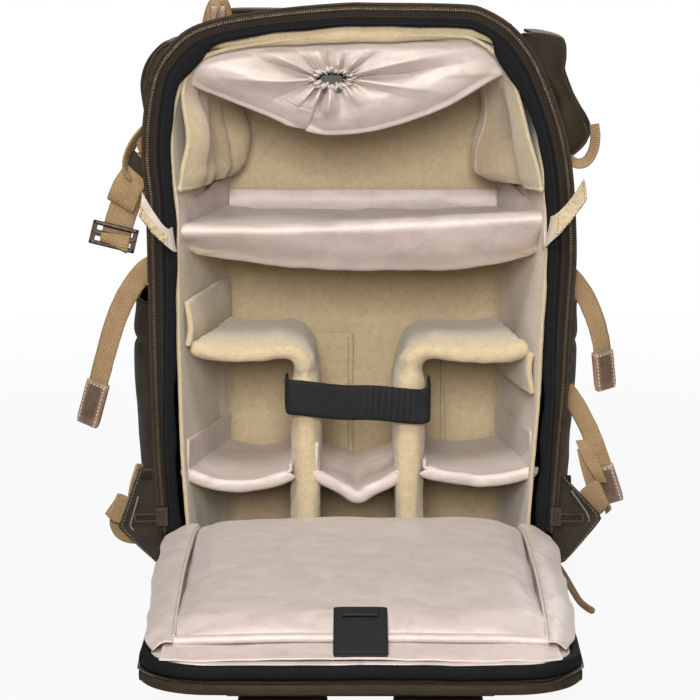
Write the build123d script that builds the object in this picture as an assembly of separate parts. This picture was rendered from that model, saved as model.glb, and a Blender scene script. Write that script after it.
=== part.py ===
from build123d import *
import os
from math import atan2, degrees, hypot, pi, radians, tan

# Rear-opening roll-top camera backpack, standing open on its base.
# Millimetres, +Z up.  The origin is the middle of the flat base; the opening faces -Y.
# The rear panel is drawn closed and then laid open about its hinge line.

os.makedirs("parts", exist_ok=True)

# ---------------------------------------------------------------- driving dimensions
# main body
BASE_HALF_WIDTH = 147.0      # half width of the body at the floor
TOP_HALF_WIDTH = 156.0       # half width at the roof line, before the corners
BODY_HEIGHT = 432.0
ROOF_FALL = 26.0             # the roof drops this much towards the far side
BODY_DEPTH = 180.0           # opening plane to far canvas
SHOULDER_RADIUS = 66.0       # round top corners
FOOT_RADIUS = 20.0           # round bottom corners
CANVAS = 2.4                 # waxed canvas with its lining board
BOOT_HEIGHT = 40.0           # bottom tray of heavier canvas
FIT = 0.3                    # clearance between neighbours that move or are soft

# foam walls
INNER_HALF_WIDTH = 134.0     # clear half width just inside the opening
BACK_HALF_LEFT = 104.0       # clear half width at the far wall, left
BACK_HALF_RIGHT = 112.0      # the same on the right
CLEAR_DEPTH = 154.0          # opening plane to the far padded wall
FAR_PAD = 12.0
FLOOR_PAD = 10.0
LINING = 2.5                 # loose fleece of the upper compartment

# opening rim
ZIP_INSET = 1.5              # canvas showing outside the zip
TAPE_WIDTH = 9.0             # tape and facing, teeth included
TAPE_THICK = 1.2
TOOTH_BAND = 4.4             # width of one row of teeth
TOOTH_HEIGHT = 1.6
BINDING_WIDTH = 9.5          # black bound edge inside the facing
BINDING_THICK = 4.0
SLIDER_LENGTH = 14.0
SLIDER_THICK = 3.0
SLIDER_HALF = 4.2
PULL_REACH = 19.0
PULL_WIRE = 1.6

# rear panel
HINGE_HEIGHT = 44.0          # hinge line above the floor
HINGE_GAP = 1.5              # opening plane to the panel's inner face
PANEL_LENGTH = 379.0
PANEL_HALF_WIDTH = 139.0
PANEL_CORNER = 46.0
PANEL_THICK = 18.0
PANEL_FOOT = 0.3             # start of the panel past the hinge line
PANEL_ROLL = 8.0             # corner round of the bound edge
PANEL_ZIP_WIDTH = 4.0
OPEN_ANGLE = 90.0
POCKET_HALF_WIDTH = 124.0
POCKET_DEPTH = 13.0          # loft of the padded sleeve above the panel
POCKET_LENGTH = 314.0
POCKET_START = 12.0          # from the hinge
POCKET_WALL = 4.0
POCKET_GAP = 6.0             # room for the flat computer
MOUTH_LIP = 20.0             # inner lining that shows past the mouth
TAB_WIDTH = 34.0
TAB_LENGTH = 62.0
TAB_THICK = 2.6
TAB_MARGIN = 2.0             # root of the tab below the bound rim when the panel is shut
BACK_PAD_THICK = 15.0
BACK_PAD_WIDTH = 96.0
BACK_PAD_LENGTH = 300.0
BACK_PAD_START = 30.0
BACK_CHANNEL = 26.0          # air channel between the two back pads
STRAP_THICK = 10.0
SHOULDER_WIDTH = 62.0
SHOULDER_LENGTH = 286.0
SHOULDER_INSET = 18.0        # inner edge of a strap from the middle
WEB_THICK = 1.6
WEB_WIDTH = 20.0
WIDE_WEB = 25.0

# dividers
DIVIDER_FRONT = 16.0         # recess of the dividers behind the opening plane
DIVIDER = 12.0               # padded thickness
BACK_RELIEF = 2.0            # gap of a divider to the far wall
TOP_SHELF_HEIGHT = 272.0     # top face of the satin shelf
TOP_SHELF_LIP = 34.0         # drop of its front face
SHELF_HEIGHT = 186.0         # top face of the two fleece shelves
POST_LEFT = -41.0            # middle of the left upright
POST_RIGHT = 39.0            # middle of the right upright
POST_THICK = 16.0
FLAP_THICK = 3.0
SLING_HEIGHT = 88.0          # ends of the three slings
SLING_SAG = 9.0
SLING_THICK = 3.5
WALL_FLAP = 26.0             # height of the flaps that grip the walls
END_FLAP = 17.0              # how far the shelf's end flaps stand out of the opening
END_FLAP_HEIGHT = 44.0
END_FLAP_SPLAY = 27.0        # how far their tops lean outwards
STRAP_HEIGHT = 140.0         # middle of the black strap over the uprights
STRAP_RETURN = 22.0

# outside
POCKET_BULGE = 13.0          # side pocket, beyond the body wall
POCKET_TOP = 210.0
POCKET_BASE = 9.0
POCKET_SPAN = 134.0
POCKET_CLOTH = 1.8
FRONT_BULGE = 26.0           # pocket on the far face
FRONT_HALF_WIDTH = 112.0
FRONT_TOP = 300.0
FRONT_BASE = 30.0
WING_REACH = 33.0
WING_TOP = 92.0
WING_FOOT = 17.0
WING_THICK = 2.4

# drawstring collar
RING_X = -20.0
RING_DROP = 26.0             # ring below the collar's top edge
RING_RADIUS = 14.0
COLLAR_BELOW_ROOF = 28.0     # collar's top edge below the roof line
COLLAR_DROP = 66.0
COLLAR_WIDTH = 216.0
COLLAR_DEPTH = 124.0
CORD_DIAMETER = 3.0
BUTTON_TRAVEL = 3.0

# strap hardware on the side seams, from the roof line down
SIDE_HARDWARE_DROP = 102.0   # root of the doubled webbing at the upper left
END_LOOP_DROP = 114.0        # foot of the right roll end and its loop
TAIL_ROOT = 3.0              # webbing tails start this far outside the wall
ROLL_THICK = 10.0
ROLL_HALF_WIDTH = 118.0

COLLAR_TOP = BODY_HEIGHT - COLLAR_BELOW_ROOF
RING_HEIGHT = COLLAR_TOP - RING_DROP
OPENING = -BODY_DEPTH / 2
FAR = BODY_DEPTH / 2
BACK_WALL = OPENING + CLEAR_DEPTH
LEAN = degrees(atan2(TOP_HALF_WIDTH - BASE_HALF_WIDTH, BODY_HEIGHT))
FRONT = OPENING + DIVIDER_FRONT
DIVIDER_BACK = BACK_WALL - BACK_RELIEF
FLOOR_TOP = CANVAS + FLOOR_PAD
PANEL_FACE = OPENING - HINGE_GAP
HINGE = Vector(0, PANEL_FACE, HINGE_HEIGHT)


# ---------------------------------------------------------------- helpers
def block(x0, x1, y0, y1, z0, z1):
    """An axis-aligned box between two corners."""
    size = Box(x1 - x0, y1 - y0, z1 - z0)
    return Pos((x0 + x1) / 2, (y0 + y1) / 2, (z0 + z1) / 2) * size


def soft_block(x0, x1, y0, y1, z0, z1, radius):
    """A box with every edge rounded, for padded pieces."""
    smallest = min(x1 - x0, y1 - y0, z1 - z0)
    body = block(x0, x1, y0, y1, z0, z1)
    return fillet(body.edges(), min(radius, 0.45 * smallest))


def profile(points):
    """A flat face from straight runs between (x, z) points."""
    return make_face(Polyline(*points, close=True))


def along_y(face, y0, y1):
    """Extrude an (x, z) face from y0 to y1."""
    return Pos(0, y0, 0) * extrude(Plane.XZ * face, amount=-(y1 - y0))


def along_z(points, z0, z1):
    """Extrude a plan of (x, y) points from z0 to z1."""
    return Pos(0, 0, z0) * extrude(profile(points), amount=z1 - z0)


def wall_at(height):
    """Outer half width of the body at a height."""
    return BASE_HALF_WIDTH + (TOP_HALF_WIDTH - BASE_HALF_WIDTH) * height / BODY_HEIGHT


def roof_at(y):
    """Outer height of the body at depth y."""
    return BODY_HEIGHT - ROOF_FALL * (y - OPENING) / BODY_DEPTH


def body_face(inset, height=BODY_HEIGHT):
    """Outline of the body across its depth, drawn in by inset."""
    top_half = wall_at(height)
    points = [
        (-BASE_HALF_WIDTH + inset, inset),
        (BASE_HALF_WIDTH - inset, inset),
        (top_half - inset, height - inset),
        (-top_half + inset, height - inset),
    ]
    face = profile(points)
    ranked = face.vertices().sort_by(Axis.Y)
    face = fillet(ranked[:2], max(FOOT_RADIUS - inset, 1.0))
    ranked = face.vertices().sort_by(Axis.Y)
    return fillet(ranked[-2:], max(SHOULDER_RADIUS - inset, 2.0))


def body_solid(inset, y0, y1):
    """The body's volume between two depths, with its falling roof."""
    sections = [Pos(0, y, 0) * (Plane.XZ * body_face(inset, roof_at(y))) for y in (y0, y1)]
    return loft(sections)


def off_body(solid):
    """Trim a piece that lies on the outside so that it starts at the body's surface."""
    return solid - body_solid(-FIT, OPENING - 1, FAR + 1)


def ring(outer_inset, inner_inset, y0, y1):
    """A band of the body outline between two insets."""
    return along_y(body_face(outer_inset), y0, y1) - along_y(
        body_face(inner_inset), y0 - 1, y1 + 1
    )


def lean(solid, side):
    """Tilt a piece drawn for an upright wall at the base width onto the leaning wall."""
    foot = Pos(side * BASE_HALF_WIDTH, 0, 0)
    return foot * Rot(0, side * LEAN, 0) * foot.inverse() * solid


def opened(solid):
    """Lay a piece of the closed rear panel open about the hinge line."""
    return Pos(*HINGE) * Rot(OPEN_ANGLE, 0, 0) * Pos(*(HINGE * -1)) * solid


def ribbon(points, width):
    """A flat band of constant width that follows a curve through (x, z) points."""
    left = []
    right = []
    for i, (x, z) in enumerate(points):
        before = points[max(i - 1, 0)]
        after = points[min(i + 1, len(points) - 1)]
        run = hypot(after[0] - before[0], after[1] - before[1])
        nx = -(after[1] - before[1]) / run
        nz = (after[0] - before[0]) / run
        left.append((x + nx * width / 2, z + nz * width / 2))
        right.append((x - nx * width / 2, z - nz * width / 2))
    edges = [
        Spline(*left),
        Line(left[-1], right[-1]),
        Spline(*reversed(right)),
        Line(right[0], left[0]),
    ]
    return make_face(edges)


def save(name, *solids):
    """Write one node."""
    shape = solids[0] if len(solids) == 1 else Compound(children=list(solids))
    export_step(shape, f"parts/{name}.step")


# ---------------------------------------------------------------- body
def body_shell():
    """Canvas walls, cut into the panels that are sewn together."""
    wide = TOP_HALF_WIDTH + 20
    shell = body_solid(0, OPENING, FAR - CANVAS) - body_solid(CANVAS, OPENING - 1, FAR)
    boot_cut = block(-wide, wide, OPENING - 5, FAR + 5, -5, BOOT_HEIGHT)
    far_wall = body_solid(0, FAR - CANVAS, FAR)
    sill = body_solid(0, OPENING, OPENING + CANVAS)
    boot = (shell + far_wall + sill) & boot_cut
    upper = shell - boot_cut
    side_top = BODY_HEIGHT - ROOF_FALL - SHOULDER_RADIUS * 0.6
    roof_zone = block(-wide, wide, OPENING - 5, FAR + 5, side_top, BODY_HEIGHT + 5)
    save("base_boot", boot)
    save("side_canvas_left", (upper - roof_zone) & block(-wide, 0, -200, 200, 0, 500))
    save("side_canvas_right", (upper - roof_zone) & block(0, wide, -200, 200, 0, 500))
    save("roof_canvas", upper & roof_zone)
    save("front_canvas", far_wall - boot_cut)


def foam_walls():
    """Fleece-faced foam that lines the camera compartment and the top."""
    room = body_solid(CANVAS, OPENING + BINDING_THICK, FAR - CANVAS)
    wide = TOP_HALF_WIDTH + 20
    slope_left = (BACK_HALF_LEFT - INNER_HALF_WIDTH) / CLEAR_DEPTH
    slope_right = (BACK_HALF_RIGHT - INNER_HALF_WIDTH) / CLEAR_DEPTH
    reach = CLEAR_DEPTH + FAR_PAD
    end_left = INNER_HALF_WIDTH + slope_left * reach
    end_right = INNER_HALF_WIDTH + slope_right * reach
    back = OPENING + reach
    left = [(-INNER_HALF_WIDTH, OPENING), (-end_left, back), (-wide, back), (-wide, OPENING)]
    right = [(INNER_HALF_WIDTH, OPENING), (end_right, back), (wide, back), (wide, OPENING)]
    split = TOP_SHELF_HEIGHT + FIT
    upper = []
    for name, plan in (("left", left), ("right", right)):
        save(f"foam_wall_{name}", along_z(plan, FLOOR_TOP, split) & room)
        upper.append(along_z(plan, split + FIT, BODY_HEIGHT) & room)
    far = block(-end_left, end_right, BACK_WALL, back, FLOOR_TOP, BODY_HEIGHT)
    cheeks = along_z(left, 0, BODY_HEIGHT) + along_z(right, 0, BODY_HEIGHT)
    save("foam_wall_far", (far & room) - cheeks)
    floor = block(-wide, wide, OPENING, back, CANVAS, FLOOR_TOP)
    save("foam_floor", floor & room)
    roof = body_solid(CANVAS, OPENING + BINDING_THICK, BACK_WALL)
    roof = roof - body_solid(CANVAS + LINING, OPENING, FAR)
    half = TOP_HALF_WIDTH - SHOULDER_RADIUS
    upper.append(roof & block(-half, half, OPENING, FAR, TOP_SHELF_HEIGHT, BODY_HEIGHT))
    save("upper_fleece", *upper)


def opening_rim():
    """Zip tape, teeth and black bound edge round the opening, open along the hinge."""
    wide = TOP_HALF_WIDTH + 20
    above = block(-wide, wide, OPENING - 20, OPENING + 20, HINGE_HEIGHT, BODY_HEIGHT + 20)
    face = OPENING
    tape_in = ZIP_INSET + TAPE_WIDTH
    tape = ring(0, tape_in, face - TAPE_THICK, face - FIT / 3)
    save("rim_zip_tape", tape & above)
    teeth = ring(ZIP_INSET, ZIP_INSET + TOOTH_BAND, face - TAPE_THICK - TOOTH_HEIGHT, face - TAPE_THICK)
    save("rim_zip_teeth", teeth & above)
    bound = body_solid(CANVAS, face, face + BINDING_THICK)
    bound = bound - along_y(body_face(tape_in + BINDING_WIDTH), face - 1, face + BINDING_THICK + 1)
    save("rim_binding", bound & above)


def zip_sliders():
    """Two sliders parked at the foot of the zip, each with its wire pull."""
    foot = HINGE_HEIGHT + 8
    back = OPENING - TAPE_THICK - TOOTH_HEIGHT - FIT
    face = back - SLIDER_THICK
    post = 0.8                   # half thickness of the bridge that holds the pull
    bridge_out = 2.0
    for side, name in ((-1, "left"), (1, "right")):
        middle = side * (BASE_HALF_WIDTH - ZIP_INSET - TOOTH_BAND / 2)
        slider = block(middle - SLIDER_HALF, middle + SLIDER_HALF, face, back, foot, foot + SLIDER_LENGTH)
        bridge = block(middle - post, middle + post, face - bridge_out, face, foot + 3, foot + 11)
        save(f"zip_slider_{name}", lean(slider + bridge, side))
        loop = block(0, PULL_REACH, face - bridge_out + 0.2, face - 0.4, foot + 3.5, foot + 10.5)
        hole = block(PULL_WIRE, PULL_REACH - PULL_WIRE, face - 5, face + 5,
                     foot + 3.5 + PULL_WIRE, foot + 10.5 - PULL_WIRE)
        frame = loop - hole
        if side < 0:
            frame = mirror(frame, about=Plane.YZ)
        start = middle + side * 2 * post
        save(f"zip_pull_{name}", lean(Pos(start, 0, 0) * frame, side))


# ---------------------------------------------------------------- inside
def side_x(side, y):
    """Clear half width of the padded room at depth y on one side, signed."""
    end = BACK_HALF_LEFT if side < 0 else BACK_HALF_RIGHT
    part = (y - OPENING) / CLEAR_DEPTH
    return side * (INNER_HALF_WIDTH + (end - INNER_HALF_WIDTH) * part)


def room_plan(x0, x1, y0, y1, gap=FIT):
    """Plan of a divider that runs to one or both sloping walls; None means the wall."""
    points = []
    points.append((side_x(-1, y0) + gap if x0 is None else x0, y0))
    points.append((side_x(1, y0) - gap if x1 is None else x1, y0))
    points.append((side_x(1, y1) - gap if x1 is None else x1, y1))
    points.append((side_x(-1, y1) + gap if x0 is None else x0, y1))
    return points


def top_divider():
    """Satin shelf with a drooping front face, a back flap and two splayed end flaps."""
    under = TOP_SHELF_HEIGHT - DIVIDER
    plate = along_z(room_plan(None, None, FRONT, DIVIDER_BACK), under, TOP_SHELF_HEIGHT)
    lip_low = TOP_SHELF_HEIGHT - TOP_SHELF_LIP
    lip = along_z(room_plan(None, None, FRONT, FRONT + 8), lip_low, under)
    upstand = TOP_SHELF_HEIGHT + 16
    back = along_z(
        room_plan(None, None, DIVIDER_BACK - FLAP_THICK, DIVIDER_BACK), TOP_SHELF_HEIGHT, upstand
    )
    save("top_divider", plate + lip + back)
    rim_face = OPENING - TAPE_THICK - TOOTH_HEIGHT - FIT
    low = TOP_SHELF_HEIGHT - END_FLAP_HEIGHT / 2 + 5
    high = low + END_FLAP_HEIGHT
    root = INNER_HALF_WIDTH - 3.5
    for side, name in ((-1, "left"), (1, "right")):
        inner = block(root - FLAP_THICK, root, rim_face, FRONT - FIT, low, high - 6)
        splayed = profile([(root - FLAP_THICK, low), (root, low - 3), (root + END_FLAP_SPLAY, high - 2),
                           (root + END_FLAP_SPLAY - FLAP_THICK, high)])
        flap = inner + along_y(splayed, rim_face - END_FLAP, rim_face)
        if side < 0:
            flap = mirror(flap, about=Plane.YZ)
        save(f"divider_flap_{name}", flap)


def fleece_dividers():
    """Two L-shaped padded dividers, each a shelf with an upright."""
    under = SHELF_HEIGHT - DIVIDER
    for side, name, middle in ((-1, "left", POST_LEFT), (1, "right", POST_RIGHT)):
        x_in = middle - side * POST_THICK / 2
        x_out = middle + side * POST_THICK / 2
        low, high = sorted((x_in, x_out))
        shelf_plan = (
            room_plan(None, x_in, FRONT, DIVIDER_BACK)
            if side < 0
            else room_plan(x_in, None, FRONT, DIVIDER_BACK)
        )
        shelf = along_z(shelf_plan, under, SHELF_HEIGHT)
        post = block(low, high, FRONT, DIVIDER_BACK, FLOOR_TOP + FIT, under)
        flap_x = x_out if side > 0 else high
        grip = block(flap_x, flap_x + 28, DIVIDER_BACK - FLAP_THICK, DIVIDER_BACK, 52, under - 6)
        if side < 0:
            z0, z1 = SHELF_HEIGHT + FIT, SHELF_HEIGHT + FIT + WALL_FLAP
            plan = room_plan(None, None, FRONT, DIVIDER_BACK - 6)
            wall = [plan[0], plan[3]]
            wall += [(plan[3][0] + FLAP_THICK, plan[3][1]), (plan[0][0] + FLAP_THICK, plan[0][1])]
        else:
            z0, z1 = under - FIT - WALL_FLAP, under - FIT
            plan = room_plan(None, None, FRONT, DIVIDER_BACK - 90)
            wall = [plan[1], plan[2]]
            wall += [(plan[2][0] - FLAP_THICK, plan[2][1]), (plan[1][0] - FLAP_THICK, plan[1][1])]
        save(f"divider_{name}", shelf + post + grip, along_z(wall, z0, z1))


def slings():
    """Three satin slings that hang between the uprights and the walls."""
    left_post = POST_LEFT - POST_THICK / 2 - FIT
    left_inner = POST_LEFT + POST_THICK / 2 + FIT
    right_inner = POST_RIGHT - POST_THICK / 2 - FIT
    right_post = POST_RIGHT + POST_THICK / 2 + FIT
    back = DIVIDER_BACK - FLAP_THICK - 2
    spans = (("left", -INNER_HALF_WIDTH, left_post, 0.0), ("centre", left_inner, right_inner, -2.0),
             ("right", right_post, INNER_HALF_WIDTH, 4.0))
    room = along_z(room_plan(None, None, FRONT, back), 0, BODY_HEIGHT)
    for name, x0, x1, lift in spans:
        top = SLING_HEIGHT + lift
        middle = (x0 + x1) / 2
        upper = ThreePointArc((x0, top), (middle, top - SLING_SAG), (x1, top))
        lower = ThreePointArc(
            (x0, top - SLING_THICK), (middle, top - SLING_SAG - SLING_THICK), (x1, top - SLING_THICK)
        )
        face = make_face(
            [upper, lower, Line((x0, top), (x0, top - SLING_THICK)), Line((x1, top), (x1, top - SLING_THICK))]
        )
        bed = along_y(face, FRONT + 4, back) & room
        flap_top = top + WALL_FLAP
        pieces = [bed]
        if name != "right":
            start = side_x(-1, FRONT) + FIT if name == "left" else x0
            if name == "left":
                plan = room_plan(None, None, FRONT + 4, back)
                wall = [plan[0], plan[3], (plan[3][0] + 2, plan[3][1]), (plan[0][0] + 2, plan[0][1])]
                pieces.append(along_z(wall, top - SLING_THICK, flap_top))
            else:
                pieces.append(block(start, start + 2, FRONT + 4, back, top - SLING_THICK, flap_top))
        if name != "left":
            if name == "right":
                plan = room_plan(None, None, FRONT + 4, back)
                wall = [plan[1], plan[2], (plan[2][0] - 2, plan[2][1]), (plan[1][0] - 2, plan[1][1])]
                pieces.append(along_z(wall, top - SLING_THICK, flap_top))
            else:
                pieces.append(block(x1 - 2, x1, FRONT + 4, back, top - SLING_THICK, flap_top))
        sling = pieces[0]
        for piece in pieces[1:]:
            sling = sling + piece
        save(f"sling_{name}", sling)


def lens_strap():
    """Black hook-and-loop strap across the two uprights, wrapped back at its ends."""
    x0 = POST_LEFT - POST_THICK / 2 - FIT - WEB_THICK
    x1 = POST_RIGHT + POST_THICK / 2 + FIT + WEB_THICK
    z0 = STRAP_HEIGHT - WIDE_WEB / 2
    z1 = STRAP_HEIGHT + WIDE_WEB / 2
    y0 = FRONT - FIT - WEB_THICK
    band = block(x0, x1, y0, y0 + WEB_THICK, z0, z1)
    left = block(x0, x0 + WEB_THICK, y0, FRONT + STRAP_RETURN, z0, z1)
    right = block(x1 - WEB_THICK, x1, y0, FRONT + STRAP_RETURN, z0, z1)
    save("lens_strap", band + left + right)


def drawstring():
    """Gathered satin ceiling of the camera room, its cord and its cord lock."""
    ring_y = OPENING + 22
    low = COLLAR_TOP - COLLAR_DROP

    middle = FRONT + COLLAR_DEPTH / 2
    cloth = 3.0
    corner = 30.0

    def funnel(cut, top):
        upper = Plane.XY.offset(top) * Pos(0, middle, 0) * RectangleRounded(
            COLLAR_WIDTH - 2 * cut, COLLAR_DEPTH - 2 * cut, corner - cut
        )
        lower = Plane.XY.offset(low + cut) * Pos(0, middle - 14, 0) * RectangleRounded(
            COLLAR_WIDTH * 0.69 - 2 * cut, COLLAR_DEPTH * 0.68 - 2 * cut, corner - cut
        )
        return loft([upper, lower])

    collar = funnel(0, COLLAR_TOP) - funnel(cloth, COLLAR_TOP + 1)
    lock_half = 8.0
    lock_top = RING_HEIGHT + 3
    mouth_radius = RING_RADIUS + CORD_DIAMETER / 2 + FIT
    porthole = Pos(RING_X, ring_y, RING_HEIGHT) * Rot(90, 0, 0) * Cylinder(mouth_radius, 40)
    ties = [
        block(x - 6, x + 6, FRONT, FRONT + cloth, COLLAR_TOP - 0.1,
              roof_at(FRONT + cloth) - CANVAS - LINING - FIT)
        for x in (-70, 70)
    ]
    save("drawstring_collar", collar - porthole + ties[0] + ties[1])
    torus = Pos(RING_X, ring_y - 4, RING_HEIGHT) * Rot(90, 0, 0) * Torus(RING_RADIUS, CORD_DIAMETER / 2)
    save("drawstring_cord", torus)
    shell = block(RING_X - lock_half, RING_X + lock_half, ring_y - 5, ring_y + 12,
                  RING_HEIGHT - 10, lock_top)
    shell = fillet(shell.edges().filter_by(Axis.Y), 3)
    well_radius = 4.6
    well_foot = RING_HEIGHT - 8
    axis = Pos(RING_X, ring_y + 3, 0)
    well = axis * Pos(0, 0, well_foot + 10) * Cylinder(well_radius, 20)
    save("cord_lock_body", shell - well)
    stem_foot = RING_HEIGHT + 0.5
    cap_foot = lock_top + BUTTON_TRAVEL + 2 * FIT
    stem_length = cap_foot - stem_foot
    stem = axis * Pos(0, 0, stem_foot + stem_length / 2) * Cylinder(well_radius - FIT, stem_length)
    cap = axis * Pos(0, 0, cap_foot + 1.5) * Cylinder(6.0, 3)
    save("cord_lock_button", stem + cap)
    spring_length = stem_foot - well_foot
    coil = Cylinder(well_radius - 2 * FIT, spring_length) - Cylinder(well_radius - 1.6, spring_length)
    save("cord_lock_spring", axis * Pos(0, 0, well_foot + spring_length / 2) * coil)


# ---------------------------------------------------------------- outside
def side_pockets():
    """Bellows pockets on both sides, open at the top."""
    half = POCKET_SPAN / 2
    for side, name in ((-1, "left"), (1, "right")):
        wall = BASE_HALF_WIDTH + FIT
        outer = make_face(
            [ThreePointArc((wall, -half), (wall + POCKET_BULGE, 0), (wall, half)), Line((wall, half), (wall, -half))]
        )
        body = Pos(0, 0, POCKET_BASE) * extrude(outer, amount=POCKET_TOP - POCKET_BASE)
        inner = make_face(
            [
                ThreePointArc(
                    (wall - 0.1, -half + 8), (wall + POCKET_BULGE - POCKET_CLOTH, 0), (wall - 0.1, half - 8)
                ),
                Line((wall - 0.1, half - 8), (wall - 0.1, -half + 8)),
            ]
        )
        hollow = Pos(0, 0, POCKET_BASE + 2) * extrude(inner, amount=POCKET_TOP)
        pocket = body - hollow
        if side < 0:
            pocket = mirror(pocket, about=Plane.YZ)
        save(f"side_pocket_{name}", lean(pocket, side))


def front_pocket():
    """Padded pocket on the far face with a zip across its top."""
    y0 = FAR + FIT
    points = [(y0, FRONT_BASE), (y0 + FRONT_BULGE, FRONT_BASE + 14), (y0 + FRONT_BULGE, FRONT_TOP - 34),
              (y0 + 6, FRONT_TOP), (y0, FRONT_TOP)]
    face = Plane.YZ * profile(points)
    body = Pos(-FRONT_HALF_WIDTH, 0, 0) * extrude(face, amount=2 * FRONT_HALF_WIDTH)
    hollow = block(-FRONT_HALF_WIDTH + 5, FRONT_HALF_WIDTH - 5, y0 + 3, y0 + FRONT_BULGE - 4,
                   FRONT_BASE + 16, FRONT_TOP - 36)
    body = body - hollow
    mouth = block(-FRONT_HALF_WIDTH + 5, FRONT_HALF_WIDTH - 5, y0 + 3, y0 + 11.5, FRONT_TOP - 40, FRONT_TOP + 5)
    save("front_pocket", body - mouth)
    save("front_pocket_zip", block(-FRONT_HALF_WIDTH + 8, FRONT_HALF_WIDTH - 8, y0 + 3.3, y0 + 5.3,
                                   FRONT_TOP - 2, FRONT_TOP + 1))


def wings():
    """Triangular anchors sewn to the rim low on both sides, each with a webbing loop."""
    y0 = OPENING + 6
    anchors = []
    webs = []
    for side in (-1, 1):
        root = BASE_HALF_WIDTH + FIT
        tip_height = (WING_TOP + WING_FOOT) / 2
        face = profile([(root, WING_TOP), (root + WING_REACH, tip_height + 8),
                        (root + WING_REACH, tip_height - 12), (root, WING_FOOT)])
        wing = along_y(face, y0, y0 + WING_THICK)
        if side < 0:
            wing = mirror(wing, about=Plane.YZ)
        anchors.append(lean(wing, side))
        loop = ribbon(
            [(root + 8, WING_TOP + 18), (root + 22, WING_TOP - 2), (root + 33, tip_height + 14),
             (root + 36, tip_height - 4), (root + 26, tip_height - 22)], WEB_WIDTH * 0.6)
        web = along_y(loop, y0 - WEB_THICK - FIT, y0 - FIT)
        if side < 0:
            web = mirror(web, about=Plane.YZ)
        webs.append(lean(web, side))
    save("strap_wings", *anchors)
    save("wing_webbing", *webs)


def strap_tails():
    """Webbing ends with stitched leather tips, arching out from the side seams."""
    y0 = OPENING + 18
    wall = BASE_HALF_WIDTH + TAIL_ROOT
    tails = {
        "left_mid": [(-wall, 236), (-wall - 16, 222), (-wall - 31, 200), (-wall - 40, 175), (-wall - 45, 158)],
        "right_mid": [(wall + 2, 230), (wall + 12, 222), (wall + 21, 206), (wall + 27, 188), (wall + 29, 174)],
        "right_low": [(wall + 3, 146), (wall + 14, 126), (wall + 23, 108), (wall + 29, 92), (wall + 32, 84)],
    }
    tip_size = {"left_mid": 34.0, "right_mid": 30.0, "right_low": 28.0}
    bands = []
    tips = []
    for name, points in tails.items():
        width = WEB_WIDTH * 0.75
        band = off_body(along_y(ribbon(points, width), y0, y0 + WEB_THICK))
        bands.append(band)
        (x0, z0), (x1, z1) = points[-2:]
        run = hypot(x1 - x0, z1 - z0)
        ux, uz = (x1 - x0) / run, (z1 - z0) / run
        start = (x1 + ux * 0.3, z1 + uz * 0.3)
        end = (x1 + ux * tip_size[name], z1 + uz * tip_size[name])
        middle = ((start[0] + end[0]) / 2, (start[1] + end[1]) / 2)
        tip = along_y(ribbon([start, middle, end], width + 1.5), y0 - 0.8, y0 + WEB_THICK + 0.8)
        tips.append(tip)
    save("strap_tails", *bands)
    save("leather_tips", *tips)


def upper_left_hardware():
    """Doubled compression webbing with its keeper, steel slide and small side loop."""
    y0 = OPENING + 14
    wall = BASE_HALF_WIDTH
    top = BODY_HEIGHT - SIDE_HARDWARE_DROP
    web = ribbon([(-wall, top), (-wall - 13, top - 12), (-wall - 23, top - 30), (-wall - 29, top - 46),
                  (-wall - 33, top - 62)], WIDE_WEB * 0.9)
    strap = along_y(web, y0, y0 + 2 * WEB_THICK)
    save("compression_webbing", off_body(strap))
    keeper = Pos(-wall - 16.5, y0 + WEB_THICK, top - 17) * Rot(0, -57, 0) * (
        Box(7, 2 * WEB_THICK + 2.4, WIDE_WEB + 5) - Box(9, 2 * WEB_THICK + 2 * FIT, WIDE_WEB)
    )
    save("webbing_keeper", off_body(keeper))
    outer = Box(WIDE_WEB + 9, 3.0, 17.0)
    slot = Box(WIDE_WEB + 1.6, 4, 3.8)
    slots = Pos(0, 0, 4.2) * slot + Pos(0, 0, -4.2) * slot
    save("tri_glide", Pos(-wall - 32, y0 - 2.0, top - 66) * Rot(0, 14, 0) * (outer - slots))
    loop = ribbon([(-wall - 5, top + 20), (-wall - 15, top + 14), (-wall - 22, top + 2),
                   (-wall - 23, top - 12), (-wall - 17, top - 22)], 5.0)
    return off_body(along_y(loop, y0 - 6, y0 - 6 + WEB_THICK))


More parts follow.
